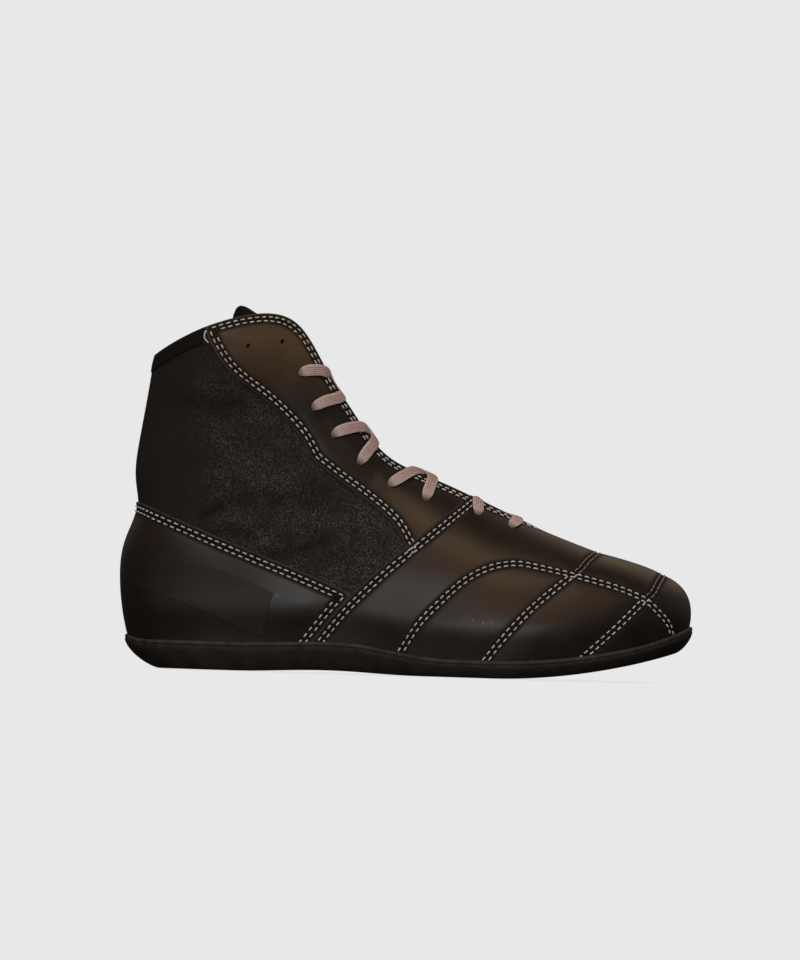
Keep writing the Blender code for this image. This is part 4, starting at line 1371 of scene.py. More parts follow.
class Seams:
    """Every stitched row, by the panel that carries it."""

    def __init__(self, sizes):
        self.margin = sizes.edge_margin / MM
        self.gap = sizes.row_gap / MM
        self.close_gap = sizes.close_row_gap / MM
        self.lines = {"vamp": [], "heel_counter": [], "eyestay_lateral": [], "eyestay_medial": []}
        self.rows = []
        self.draw_vamp()
        self.draw_counter()
        for side, name in ((1, "eyestay_lateral"), (-1, "eyestay_medial")):
            self.draw_eyestay(side, name)

    def keep(self, panel, drawn):
        """Keeps two rows and the middle line between them."""
        first, second, middle = drawn
        self.rows += [StitchRow(panel, first, 0.0, None), StitchRow(panel, second, STAGGER, None)]
        self.lines[panel].append(middle)

    def along_edge(self, panel, edge, sign, corners, gap, joins=()):
        """Two rows inside an edge, which turn at its corners and run up to the panels they join."""
        drawn = []
        for distance in (self.margin, self.margin + gap, self.margin + gap / 2):
            line = offset_line(edge, sign * distance)
            line = trimmed(line, [edge], distance - TURN_SLACK)
            drawn.append(trimmed(trimmed(line, corners, distance), joins, TUCK))
        self.keep(panel, drawn)

    def along_topline(self, panel, start, stop, corners, joins=()):
        """Two rows under the topline between two places, behind the front of the throat."""
        u = np.linspace(start, stop, LONG_POINTS)
        forward = FORM.face(u, 1.0)[:, 0]
        u, forward = u[forward < THROAT_FRONT], forward[forward < THROAT_FRONT]
        margin = np.interp(forward, *np.transpose(TOP_MARGINS))
        drawn = []
        for extra in (0.0, self.close_gap, self.close_gap / 2):
            line = np.column_stack([u, FORM.below_edge(u, margin + extra)])
            drawn.append(trimmed(trimmed(line, corners, self.margin + extra), joins, TUCK))
        self.keep(panel, drawn)

    def across(self, panel, line, worn_above=None):
        """Two rows either side of a line over a panel, worn dull above a height."""
        for distance, shift in ((-self.gap / 2, 0.0), (self.gap / 2, STAGGER)):
            self.rows.append(StitchRow(panel, offset_line(line, distance), shift, worn_above))
        self.lines[panel].append(line)

    def draw_vamp(self):
        """Rows along the vamp's edges and throat, the ball's arc and the two seams over the toe."""
        _, throat, lateral, medial = PATTERN.vamp()
        self.along_edge("vamp", resample(lateral, SIDE_POINTS), -1, [throat], self.gap)
        self.along_edge("vamp", resample(medial, SIDE_POINTS), 1, [throat], self.gap)
        self.along_topline("vamp", throat[0, 0], 0.0, [lateral])
        self.along_topline("vamp", 0.0, throat[-1, 0], [medial])
        for line in both_sides(BALL_ARC):
            self.across("vamp", resample(line, SEAM_POINTS))
        back = over_ridge(TOE_SEAM_BACK, TOE_SEAM_BACK_RIDGE)
        front = over_ridge(TOE_SEAM_FRONT, TOE_SEAM_FRONT_RIDGE)
        self.across("vamp", resample(back, LONG_POINTS), TOE_SEAM_BACK_TOP)
        self.across("vamp", resample(front, SEAM_POINTS), TOE_SEAM_FRONT_TOP)

    def draw_counter(self):
        """Rows along the heel counter's top and its two front edges."""
        _, top, lateral, medial = PATTERN.counter()
        self.along_edge("heel_counter", resample(top, LONG_POINTS), 1, [lateral, medial], self.gap)
        self.along_edge("heel_counter", resample(lateral, SHORT_POINTS), 1, [top], self.gap)
        self.along_edge("heel_counter", resample(medial, SHORT_POINTS), -1, [top], self.gap)

    def draw_eyestay(self, side, name):
        """Rows along one eyestay's outer edge and beside the throat."""
        low, throat, back, seam = PATTERN.eyestay(side)
        outer = resample(np.vstack([back[::-1], low[1:]]), LONG_POINTS)
        self.along_edge(name, outer, side, [throat], self.close_gap, [seam])
        self.along_topline(name, throat[0, 0], throat[-1, 0], [outer], [seam])


def make_panels(sizes):
    """The four leather panels with their seams."""
    seams = Seams(sizes)
    cuts = [
        ("vamp", PATTERN.vamp(), VAMP_GRID, VAMP_THICK),
        ("heel_counter", PATTERN.counter(), COUNTER_GRID, PANEL_THICK),
        ("eyestay_lateral", PATTERN.eyestay(1), EYESTAY_GRID, PANEL_THICK),
        ("eyestay_medial", PATTERN.eyestay(-1), EYESTAY_GRID, PANEL_THICK),
    ]
    panels = {}
    for name, sides, size, thick in cuts:
        panels[name] = LeatherPanel(name, sides, size, thick, seams.lines[name])
    return panels, seams


def stitch_row(points, normals, pitch, length, radius, shift):
    """Points and faces of the stitches along one row."""
    run = path_length(points)
    slots = int(run[-1] // pitch)
    count = slots - math.ceil(shift)
    if count < 1:
        return np.zeros((0, 3)), []
    pitch = run[-1] / slots
    shares, rise, girth = np.transpose(STITCH)
    rise, girth = rise * 2 * radius, girth * radius
    places = (np.arange(count)[:, None] + shift) * pitch + (pitch - length) / 2 + shares * length
    centre = np.stack([np.interp(places, run, points[:, k]) for k in range(3)], axis=-1)
    out = unit(np.stack([np.interp(places, run, normals[:, k]) for k in range(3)], axis=-1))
    along = unit(centre[:, -1] - centre[:, 0])[:, None]
    side = unit(np.cross(along, out))
    centre = centre + rise[:, None] * out
    turn = 2 * math.pi * np.arange(STITCH_SIDES) / STITCH_SIDES
    ring = np.cos(turn)[:, None] * side[:, :, None] + np.sin(turn)[:, None] * out[:, :, None]
    rings = centre[:, :, None] + girth[:, None, None] * ring
    size = len(STITCH) * STITCH_SIDES
    one = tube_faces(len(STITCH), STITCH_SIDES)
    faces = [[start + k for k in face] for start in range(0, size * count, size) for face in one]
    return rings.reshape(-1, 3), faces


def row_parts(row):
    """The parts of a stitched row, and whether each is worn dull."""
    if row.worn_above is None:
        return [(row.line, False)]
    high = np.flatnonzero(FORM.face(*row.line.T)[:, 2] > row.worn_above)
    first, last = high[0], high[-1]
    return [(row.line[:first], False), (row.line[first : last + 1], True), (row.line[last + 1 :], False)]


def tie_stitch():
    """Points and faces of the bar of thread at the eyestay's upper corner."""
    places = np.array([FORM.locate(x, z) for x, z in TIE_STITCH])
    lift = TIE_OUT * np.sin(math.pi * np.linspace(*TIE_ARCH, len(places)))
    centre = smooth_line(skin(*places.T, lift), TIE_STEPS)
    out = np.broadcast_to(FORM.normal(*places[1]), centre.shape)
    along = unit(np.gradient(centre, axis=0))
    side = unit(np.cross(along, out))
    turn = 2 * math.pi * np.arange(TIE_SIDES) / TIE_SIDES
    ring = np.cos(turn)[:, None] * side[:, None] + np.sin(turn)[:, None] * np.cross(side, along)[:, None]
    points = (centre[:, None] + TIE_RADIUS * ring).reshape(-1, 3)
    return points, tube_faces(len(centre), TIE_SIDES)


def build_stitching(panels, seams, sizes, finish, worn_finish):
    """All the stitches as one mesh, with those worn dull over the toe in their own finish."""
    pitch, length = sizes.stitch_pitch / MM, sizes.stitch_length / MM
    radius = sizes.thread_width / MM / 2
    made = []
    for row in seams.rows:
        for line, worn in row_parts(row):
            if len(line) < 2:
                continue
            line = resample(line, max(LEAST_POINTS, int(path_length(FORM.face(*line.T))[-1])))
            u, v = line.T
            place, out = skin(u, v, panels[row.panel].out(u, v)), FORM.normal(u, v)
            shows = pitch * WORN_LENGTH if worn else length
            girth = radius * WORN_WIDTH if worn else radius
            made.append((*stitch_row(place, out, pitch, shows, girth, row.shift), worn))
    made.append((*tie_stitch(), False))
    points, faces, finish_of_face, total = [], [], [], 0
    for part, part_faces, worn in made:
        points.append(part)
        faces += [[total + k for k in face] for face in part_faces]
        finish_of_face += [int(worn)] * len(part_faces)
        total += len(part)
    return add_piece(
        "stitching", np.vstack(points), faces, [finish, worn_finish], finish_of_face=finish_of_face
    )


def top_edge(u):
    """The topline's points, with the directions out of the wall and up over its edge."""
    top = skin(u, 1.0)
    return top, FORM.normal(u, 1.0), unit(top - skin(u, NEAR_TOP))


def build_upper(canvas, lining):
    """The canvas upper: outer cloth, a rolled top edge and the lining inside."""
    around, rows = UPPER_GRID
    u = np.arange(around) * FORM.length / around
    shares = np.linspace(0.0, 1.0, rows)
    ripple = sum(height * np.sin(u / wave + start) for height, wave, start in RIPPLES)
    rings, cloth, creased = [], [], []
    for v in shares:
        rings.append(skin(u, v, ripple * math.sin(math.pi * v)))
        # The cloth's third value carries the painted shade of the creases.
        creased.append(crease_shade(u, v))
    top, out, up = top_edge(u)
    for turn in TOP_TURNS:
        rings.append(top + (WALL / 2) * (math.cos(turn) - 1) * out + BINDING_GAP / 2 * math.sin(turn) * up)
    for v in shares[::-1]:
        rings.append(skin(u, v, -WALL))
    creased += [np.zeros(around)] * (len(rings) - rows)
    rise = np.zeros(around)
    for k, ring in enumerate(rings):
        if k:
            rise = rise + np.linalg.norm(ring - rings[k - 1], axis=1)
        cloth.append(np.column_stack([u, rise, creased[k]]))
    faces = grid_faces(len(rings), around, closed=True)
    last = (len(rings) - 1) * around
    faces += [[i, (i + 1) % around, last + (i + 1) % around, last + i] for i in range(around)]
    finish_of_face = np.zeros(len(faces), int)
    finish_of_face[(rows + 1) * around :] = 1
    piece = add_piece(
        "canvas_upper", np.vstack(rings), faces, [canvas, lining], slot="textile", stands_for=["upper"],
        values={"cloth": np.vstack(cloth)}, finish_of_face=finish_of_face,
    )
    punch_holes(piece, LACED_PAIRS)
    return piece


def build_binding(finish):
    """Tape folded over the collar's edge, from eyestay to eyestay round the heel."""
    first = FORM.locate(*side_places(BINDING_FROM))[0]
    u = np.linspace(first, FORM.length - first, TAPE_STEPS)
    short, long = PUCKER_WAVES
    pucker = PUCKER * np.sin(u / short) * np.sin(u / long)
    top, out, up = top_edge(u)
    shell, core = [], []
    for row in TAPE_ROWS:
        v = FORM.below_edge(u, row.down)
        shell.append(skin(u, v, BINDING_GAP + row.swell * BINDING + pucker))
        core.append(skin(u, v, BINDING_GAP))
    for turn in FOLD_TURNS:
        reach = (WALL / 2) * (math.cos(turn) - 1)
        fold = BINDING_GAP + BINDING
        shell.append(top + (reach + fold * math.cos(turn)) * out + fold * math.sin(turn) * up)
        core.append(top + (reach + BINDING_GAP * math.cos(turn)) * out + BINDING_GAP * math.sin(turn) * up)
    for row in TAPE_ROWS[::-1]:
        v = FORM.below_edge(u, row.down)
        shell.append(skin(u, v, -WALL - BINDING_GAP - row.swell * BINDING))
        core.append(skin(u, v, -WALL - BINDING_GAP))
    strands = len(shell)
    rings = np.stack(shell + core[::-1], axis=1)
    count = rings.shape[1]
    faces = grid_faces(len(u), count, closed=True)
    for start in (0, (len(u) - 1) * count):
        for i in range(strands - 1):
            faces.append([start + i, start + i + 1, start + count - 2 - i, start + count - 1 - i])
    run = np.concatenate([np.arange(strands), np.arange(strands)[::-1]]) * TAPE_THREAD_STEP
    cloth = np.zeros((len(u), count, 3))
    cloth[..., 0] = u[:, None]
    cloth[..., 1] = run
    return add_piece(
        "collar_tape", rings.reshape(-1, 3), faces, [finish], slot="binding_tape",
        stands_for=["collar_binding"], values={"cloth": cloth.reshape(-1, 3)},
    )


def tongue_net():
    """Rows of points across the tongue's two faces, from its base to its tip."""
    across = np.linspace(-1.0, 1.0, TONGUE_ACROSS)
    thick = TONGUE_EDGE + (TONGUE_THICK - TONGUE_EDGE) * (1 - across**2)
    start, corner = FORM.knot("toe_corner"), FORM.knot("heel_side")
    stop = corner - (1.0 - TONGUE_RISE) * (corner - FORM.knot("heel_front"))
    front = across * -start
    front_v = FORM.below_edge(front, TONGUE_FRONT_LAP)
    base = FORM.at(front, front_v, -TONGUE_DROP)
    rows = [(base, FORM.normal(front, front_v), thick)]
    for share in np.linspace(0.0, 1.0, TONGUE_ROWS):
        u = start + share * (stop - start)
        lap = np.interp(share, *np.transpose(TONGUE_LAPS))
        v = FORM.below_edge(u, lap * np.array([1.0, 0.5, 0.0]))
        lateral, medial = FORM.at(u, v, -TONGUE_DROP), FORM.at(-u, v, -TONGUE_DROP)
        lateral_n, medial_n = FORM.normal(u, v), FORM.normal(-u, v)
        up = unit(lateral_n[2] + medial_n[2])
        middle = (lateral[2] + medial[2]) / 2 + TONGUE_CROWN * ramp(*TONGUE_SWELL, share) * up
        points = np.vstack([lateral, [middle], medial[::-1]])
        rows.append((points, np.vstack([lateral_n, [up], medial_n[::-1]]), thick))
    spine = np.array([[tip.x, tip.z] for tip in TONGUE_TIP])
    along = unit(np.gradient(spine, axis=0))
    for tip, (forward, rise) in zip(TONGUE_TIP, along):
        up = np.array([rise, 0.0, -forward])
        points = np.array([tip.x, 0.0, tip.z]) - np.outer(tip.drop * across**2, up)
        points[:, 1] = tip.half * across
        body = TONGUE_EDGE + (tip.thick - TONGUE_EDGE) * (1 - across**4)
        rows.append((points, np.tile(up, (TONGUE_ACROSS, 1)), body))
    outer = np.array([points for points, _, _ in rows])
    inner = np.array([points - depth[:, None] * normals for points, normals, depth in rows])
    return outer, inner


def build_tongue(finish):
    """The padded tongue, rounded along its edges."""
    faces_of = []
    for net in tongue_net():
        fine = np.swapaxes(smooth_line(net, TONGUE_FINE_ROWS), 0, 1)
        faces_of.append(np.swapaxes(smooth_line(fine, TONGUE_FINE_ACROSS), 0, 1))
    outer, inner = faces_of
    rows, across = outer.shape[:2]
    middle = (outer + inner) / 2
    left = middle[:, 0] + TONGUE_SIDE_SWELL * unit(middle[:, 0] - middle[:, 1])
    right = middle[:, -1] + TONGUE_SIDE_SWELL * unit(middle[:, -1] - middle[:, -2])
    rings = np.concatenate([outer, right[:, None], inner[:, ::-1], left[:, None]], axis=1)
    count = rings.shape[1]
    faces = grid_faces(rows, count, closed=True)
    for row in (0, rows - 1):
        start = row * count
        for i in range(across - 1):
            faces.append([start + i, start + i + 1, start + 2 * across - 1 - i, start + 2 * across - i])
        faces.append([start, start + 2 * across, start + count - 1])
        faces.append([start + across - 1, start + across, start + across + 1])
    run = path_length(middle[:, across // 2])
    cloth = np.zeros((rows, count, 3))
    cloth[..., 0] = np.arange(count) * TONGUE_THREAD_STEP
    cloth[..., 1] = run[:, None]
    piece = add_piece(
        "padded_tongue", rings.reshape(-1, 3), faces, [finish], slot="lining", stands_for=["tongue"],
        values={"cloth": cloth.reshape(-1, 3)},
    )
    return piece


Station = namedtuple("Station", "point up wide thick free")


def hole_stations(hole, edge, crest):
    """Stations of the lace from inside a hole to the throat's edge above it."""
    u, v = hole
    away = unit(FORM.face(u, v) - FORM.face(edge, 1.0))
    stations = []
    for out, wide, thick in IN_HOLE:
        stations.append(Station(FORM.at(u, v, out), away, wide, thick, 0.0))
    for share, part, wide in OVER_WALL:
        there = (u + share * (edge - u), v + share * (1.0 - v))
        point = FORM.at(*there, STRAP_LIFT + crest * part)
        stations.append(Station(point, FORM.normal(*there), wide, 1.0, share))
    return stations


def strap_stations(start, stop, lift, rise):
    """Stations of one strap over the throat; each end is a hole and a place on the throat's edge."""
    near, far = hole_stations(*start, rise.crest), hole_stations(*stop, rise.crest)
    a, b = near[-1], far[-1]
    up = unit(a.up + b.up)
    between = []
    for share, height in zip(STRAP_SHARES, (rise.ends, rise.middle, rise.ends)):
        height += lift * math.sin(math.pi * share)
        point = a.point + share * (b.point - a.point) + height * up
        lean = unit((1.0 - share) * a.up + share * b.up)
        between.append(Station(point, unit(lean + up), 1.0, 1.0, 1.0))
    return near + between + far[::-1]


def hidden_station(place):
    """One station of the lace inside the wall."""
    return Station(FORM.at(*place, HIDDEN_OUT), FORM.normal(*place), HIDDEN_WIDE, HIDDEN_THICK, 0.0)


def hidden_stations(start, stop):
    """Stations of the run inside the wall between two holes of one side."""
    stations = []
    for share in HIDDEN_SHARES:
        stations.append(hidden_station(start + share * (stop - start)))
    return stations


def bar_stations(lateral, medial):
    """Stations of the bar under the wall that joins the two strands at the lowest pair of holes."""
    near, far = (hidden_station((u, v + BAR_UP * (1.0 - v))) for u, v in (lateral, medial))
    up = unit(near.up + far.up)
    middle = (near.point + far.point) / 2 + BAR_RISE * up
    return [near, Station(middle, up, 1.0, BAR_THICK, 0.0), far]


def lace_route():
    """Stations of the whole lace, from a top hole down to the lowest pair and up again."""
    edges = [FORM.locate(x, z)[0] for x, z in side_places(STRAP_EDGES)]
    lateral = list(zip(hole_places(1), edges))
    medial = [(hole, -edge) for hole, edge in zip(hole_places(-1), edges)]
    strands = []
    for strand, (here, there) in enumerate(((lateral, medial), (medial, lateral))):
        stations = []
        for pair in range(0, LACED_PAIRS, 2):
            over = (strand + pair // 2) % 2 == 0
            if stations:
                stations += hidden_stations(here[pair - 1][0], here[pair][0])
            cross = STRAP_CROSS if over else -STRAP_CROSS
            stations += strap_stations(here[pair], there[pair + 1], cross, STRAP_RISES[pair // 2])
            here, there = there, here
        end = FORM.at(*here[LACED_PAIRS - 1][0], LACE_END_OUT)
        stations[-1] = stations[-1]._replace(point=end)
        strands.append(stations)
    return strands[0][::-1] + bar_stations(lateral[0][0], medial[0][0]) + strands[1]


def eased(line, free):
    """A line whose free stretches are rounded where they bend."""
    line = line.copy()
    for _ in range(LACE_EASING):
        middle = (line[:-2] + line[2:]) / 2
        line[1:-1] += EASING_STEP * free[1:-1] * (middle - line[1:-1])
    return line


def build_lace(sizes, finish):
    """The lace, crossing over the tongue and running on inside the wall."""
    wide, thick = sizes.lace_width / MM / 2, sizes.lace_thickness / MM / 2
    turn = 2 * math.pi * (np.arange(LACE_SIDES) + 0.5) / LACE_SIDES
    flat = np.sign(np.cos(turn)) * np.abs(np.cos(turn)) ** LACE_EDGE_POWER
    tall = np.sign(np.sin(turn)) * np.abs(np.sin(turn)) ** LACE_FACE_POWER
    route = lace_route()
    centre = smooth_line([station.point for station in route], LACE_STEPS)
    up = smooth_line([station.up for station in route], LACE_STEPS)
    share = smooth_line([(station.wide, station.thick, station.free) for station in route], LACE_STEPS)
    free = ease(ramp(*EASED_FROM, share[:, 2:]))
    centre, up = eased(centre, free), unit(eased(up, free))
    along = unit(np.gradient(centre, axis=0))
    side = unit(np.cross(along, up))
    up = np.cross(side, along)
    a, b = wide * share[:, :1] * flat, thick * share[:, 1:2] * tall
    rings = centre[:, None] + a[..., None] * side[:, None] + b[..., None] * up[:, None]
    count = len(centre)
    faces = tube_faces(count, LACE_SIDES)
    braid = np.zeros((count, LACE_SIDES, 3))
    braid[..., 0] = flat
    braid[..., 1] = path_length(centre)[:, None]
    braid[..., 2] = share[:, 2:]
    crossings = [f"lace_cross_{number + 1}" for number in range(LACED_PAIRS // 2)]
    return add_piece(
        "flat_lace", rings.reshape(-1, 3), faces, [finish], slot="lace", stands_for=crossings,
        values={"braid": braid.reshape(-1, 3)},
    )


def across_rows(ring, rows):
    """Points across a closed ring, from its lateral half to its medial half."""
    half = len(ring) // 2
    lateral, medial = ring[: half + 1], np.vstack([ring[:1], ring[:half - 1:-1]])
    shares = np.linspace(0.0, 1.0, rows)[1:-1]
    return [lateral + share * (medial - lateral) for share in shares]


def closed_cap(ring_start, around, inner_start, rows):
    """Faces of a cap across a ring, through inner rows that run lateral to medial."""
    half = around // 2
    lines = [[ring_start + i for i in range(half + 1)]]
    for row in range(rows - 2):
        lines.append([inner_start + row * (half + 1) + i for i in range(half + 1)])
    lines.append([ring_start + (around - i) % around for i in range(half + 1)])
    faces = []
    for a, b in zip(lines, lines[1:]):
        for i in range(half):
            quad = [a[i], a[i + 1], b[i + 1], b[i]]
            faces.append(list(dict.fromkeys(quad)))
    return [face for face in faces if len(face) > 2]


def capped_rings(rings, rows, bottom_relief, top_relief):
    """Points and faces of stacked rings with gridded caps below and above."""
    around = len(rings[0])
    points = list(rings)
    faces = grid_faces(len(rings), around, closed=True)
    total = len(rings) * around
    for ring, start, relief in ((rings[0], 0, bottom_relief), (rings[-1], total - around, top_relief)):
        inner = np.array(across_rows(ring, rows))
        inner[..., 2] += relief(inner)
        inner[:, 0], inner[:, -1] = ring[0], ring[around // 2]
        faces += closed_cap(start, around, sum(len(p) for p in points), rows)
        points.append(inner.reshape(-1, 3))
    return np.vstack(points), faces


def tread_relief(inner):
    """Grooves across the underside, deeper towards the middle."""
    rows = inner.shape[0]
    middle = np.sin(math.pi * (np.arange(rows) + 1) / (rows + 1))[:, None]
    lean = GROOVE_LEAN * np.abs(inner[..., 1])
    wave = np.sin((inner[..., 0] + lean) * 2 * math.pi / GROOVE_PITCH)
    return GROOVE_DEPTH * ease(ramp(*GROOVE_SLOPE, wave)) * ramp(*GROOVE_MARGIN, middle)


def level_with_floor(lift):
    """A relief that lays a cap at a height above the cup's floor."""
    return lambda inner: floor_height(inner[..., 0]) + lift - inner[..., 2]


def build_outsole(finish):
    """The cup sole: grooved tread, rounded side, rim bead and the seat inside."""
    u = np.arange(SOLE_AROUND) * FORM.length / SOLE_AROUND
    seat = GAP + OVERLAY + GAP
    rim_v = np.zeros(SOLE_AROUND)
    for _ in range(4):
        rim_v = FORM.at_height(u, rim_height(FORM.face(u, rim_v)[:, 0]))
    away = unit(FORM.normal(u, rim_v)[:, :2])
    inner = FORM.at(u, rim_v, seat)[:, :2]
    back = np.clip(-away[:, 0], 0, 1) ** 2
    outline = inner + (RIM - HEEL_TUCK * back)[:, None] * away
    inset = SIDE_ROUND + HEEL_ROUND * np.clip(-away[:, 0], 0, 1) ** END_FOCUS
    inset += TOE_ROUND * np.clip(away[:, 0], 0, 1) ** END_FOCUS
    tread = outline - inset[:, None] * away
    low, top = tread_height(tread[:, 0]), FORM.face(u, rim_v)[:, 2]
    edge = top - BEAD_HEIGHT
    rings, worn = [], []
    for share in SIDE_SHARES:
        out = (1.0 - (1.0 - share) ** ROUND_POWER) ** (1 / ROUND_POWER)
        rings.append(np.column_stack([tread + (out * inset)[:, None] * away, low + share * (edge - low)]))
        low_wear = TREAD_WEAR if share < TREAD_WEAR_TO else 0.0
        worn.append(max(low_wear, RIM_WEAR * float(ramp(RIM_WEAR_FROM, 1.0, share))))
    for out, rise, wear in BEAD:
        rings.append(np.column_stack([outline + out * away, edge + rise]))
        worn.append(wear)
    rings.append(np.column_stack([inner, top]))
    foot = FORM.at(u, 0.0, seat)[:, :2] - (FOOT_TUCK * back)[:, None] * away
    rings.append(np.column_stack([foot, floor_height(foot[:, 0])]))
    worn += SEAT_WEAR
    points, faces = capped_rings(rings, SOLE_ROWS, tread_relief, level_with_floor(0.0))
    marks = np.zeros(len(points))
    marks[: len(rings) * SOLE_AROUND] = np.repeat(worn, SOLE_AROUND)
    return add_piece(
        "cup_sole", points, faces, [finish], slot="sole_rubber", stands_for=["outsole"],
        values={"edge": marks},
    )


def build_insole(finish):
    """The footbed with its rounded edge."""
    u = np.arange(SOLE_AROUND) * FORM.length / SOLE_AROUND
    edge = FORM.at(u, 0.0, -WALL - GAP)[:, :2]
    away = unit(FORM.normal(u, 0.0)[:, :2])
    bottom = floor_height(edge[:, 0]) + GAP
    rings = []
    for inset, rise in FOOTBED_EDGE:
        rings.append(np.column_stack([edge - inset * away, bottom + rise]))
    under, bed = level_with_floor(GAP), level_with_floor(GAP + INSOLE)
    points, faces = capped_rings(rings, FOOTBED_ROWS, under, bed)
    cloth = np.column_stack([points[:, :2], np.zeros(len(points))])
    return add_piece(
        "footbed", points, faces, [finish], slot="lining", stands_for=["insole"], values={"cloth": cloth}
    )


def build_patch(panel, finish):
    """The bare patch pressed on the counter's outer side."""
    top = smooth_line([FORM.locate(x, z) for x, z in PATCH_TOP])
    bottom = smooth_line([FORM.locate(x, z) for x, z in PATCH_BOTTOM])
    grid = patch_grid(bottom, top, straight(bottom[0], top[0]), straight(bottom[-1], top[-1]), PATCH_GRID)
    out = panel.out(grid[..., 0], grid[..., 1])
    face, back = out + PATCH_THICK, out - PATCH_SINK
    return sheet_piece("heel_patch", grid, face, back, PATCH_ROUND, [finish], slot="leather")


# Properties


def length_property(name, description, millimetres):
    """A length that a user may change."""
    return FloatProperty(
        name=name, description=description, default=millimetres * MM, unit="LENGTH", precision=5
    )


def colour_property(name, description, default):
    """A colour that a user may change."""
    return FloatVectorProperty(
        name=name, description=description, default=default, subtype="COLOR", size=3, min=0.0, max=1.0
    )


class ShoeSizes(bpy.types.PropertyGroup):
    """Sizes of the sewn and laced details."""

    stitch_pitch: length_property("Stitch pitch", "From one stitch to the next", 3.7)
    stitch_length: length_property("Stitch length", "Thread that shows in one stitch", 2.55)
    thread_width: length_property("Thread width", "Thickness of the stitching thread", 0.78)
    row_gap: length_property("Row gap", "Between the two rows of a seam", 2.35)
    close_row_gap: length_property("Close row gap", "Between the two rows round an eyestay", 2.15)
    edge_margin: length_property("Edge margin", "From a panel's cut edge to its first row", 1.9)
    lace_width: length_property("Lace width", "Width of the flat lace", 5.7)
    lace_thickness: length_property("Lace thickness", "Thickness of the flat lace", 1.3)


class ShoeColours(bpy.types.PropertyGroup):
    """Colours of the shoe's finishes."""

    leather: colour_property("Leather", "Face of the leather panels", (0.0085, 0.0068, 0.0054))
    cut_edge: colour_property("Cut edge", "Raw edges of the leather panels", (0.06, 0.052, 0.043))
    canvas: colour_property("Canvas", "Cloth of the quarters", (0.0158, 0.0132, 0.0112))
    # The fleck colour is painted glints on the canvas's threads.
    fleck: colour_property("Fleck", "Paler flecks of the canvas", (0.165, 0.148, 0.136))
    tape: colour_property("Tape", "Collar tape", (0.0068, 0.0056, 0.0046))
    lining: colour_property("Lining", "Inside of the upper and the footbed", (0.012, 0.012, 0.012))
    tongue: colour_property("Tongue", "Tongue's cloth", (0.011, 0.0125, 0.0108))
    rubber: colour_property("Rubber", "Cup sole", (0.0098, 0.0064, 0.0042))
    rim: colour_property("Rim", "Worn edge of the sole", (0.05, 0.045, 0.04))
    lace: colour_property("Lace", "Face of the lace's strands", (0.64, 0.43, 0.37))
    # The lace edge colour is a painted highlight along the lace's edges, and wear at the holes.
    lace_edge: colour_property("Lace edge", "Rubbed edges of the lace", (0.7, 0.6, 0.53))
    lace_shade: colour_property("Lace shade", "Between the lace's strands", (0.25, 0.145, 0.12))
    # The lace throat shade colour is painted shade where the lace runs over the throat.
    lace_throat_shade: colour_property("Lace stain", "Dirt on the lace over the throat", (0.36, 0.22, 0.14))
    thread: colour_property("Thread", "Stitching thread", (0.67, 0.62, 0.54))
    worn_thread: colour_property("Worn thread", "Thread worn dull over the toe", (0.32, 0.24, 0.16))


class StageLook(bpy.types.PropertyGroup):
    """Camera and light."""

    camera_distance: FloatProperty(
        name="Camera distance", description="From the camera to the shoe's middle plane",
        default=8.0, unit="LENGTH",
    )
    camera_roll: FloatProperty(
        name="Camera roll", description="Roll of the camera about its view",
        default=math.radians(1.73), subtype="ANGLE",
    )
    backdrop: colour_property("Backdrop", "Pale floor and backdrop", (0.807, 0.807, 0.807))
    key_power: FloatProperty(
        name="Key power", description="Lamp above and in front", default=6.0, unit="POWER"
    )
    room: colour_property("Room", "Even light from above the floor", (0.26, 0.24, 0.22))


# Operators


class DressOperator:
    """Shared parts of the operators."""

    bl_options = {"REGISTER", "UNDO"}

    @property
    def sizes(self):
        return bpy.context.scene.shoe_sizes

    @property
    def colours(self):
        return bpy.context.scene.shoe_colours

    def cloth(self, name, colour, **weave):
        """A woven finish with the canvas's flecks."""
        return canvas_finish(name, colour, self.colours.fleck, **weave)


class SHOE_OT_sole(DressOperator, bpy.types.Operator):
    """Makes the cup sole and the footbed inside it"""

    bl_idname = "shoe.sole"
    bl_label = "Sole and Footbed"

    def execute(self, context):
        build_outsole(rubber_finish("black_rubber", self.colours.rubber, self.colours.rim))
        build_insole(self.cloth("footbed_cloth", self.colours.lining, thread=0.8, strength=0.3))
        return {"FINISHED"}


class SHOE_OT_upper(DressOperator, bpy.types.Operator):
    """Makes the canvas upper with its lining"""

    bl_idname = "shoe.upper"
    bl_label = "Canvas Upper"

    def execute(self, context):
        canvas = self.cloth("black_canvas", self.colours.canvas, thread=0.42, strength=1.0)
        lining = self.cloth("lining_cloth", self.colours.lining, thread=0.5, strength=0.25)
        build_upper(canvas, lining)
        return {"FINISHED"}


class SHOE_OT_panels(DressOperator, bpy.types.Operator):
    """Makes the leather panels, the heel patch and all the stitching"""

    bl_idname = "shoe.panels"
    bl_label = "Leather Panels and Stitching"

    def execute(self, context):
        panels, seams = make_panels(self.sizes)
        face, cut_edge = self.colours.leather, self.colours.cut_edge
        leather = leather_finish("black_leather", face, cut_edge, roughness=0.36, grain=0.7)
        for panel in panels.values():
            panel.build(leather, punched=panel.name != "heel_counter")
        film = leather_finish("patch_film", face, face, roughness=0.5, grain=0.4)
        build_patch(panels["heel_counter"], film)
        pale = thread_finish("pale_thread", self.colours.thread)
        dull = thread_finish("worn_thread", self.colours.worn_thread)
        build_stitching(panels, seams, self.sizes, pale, dull)
        return {"FINISHED"}


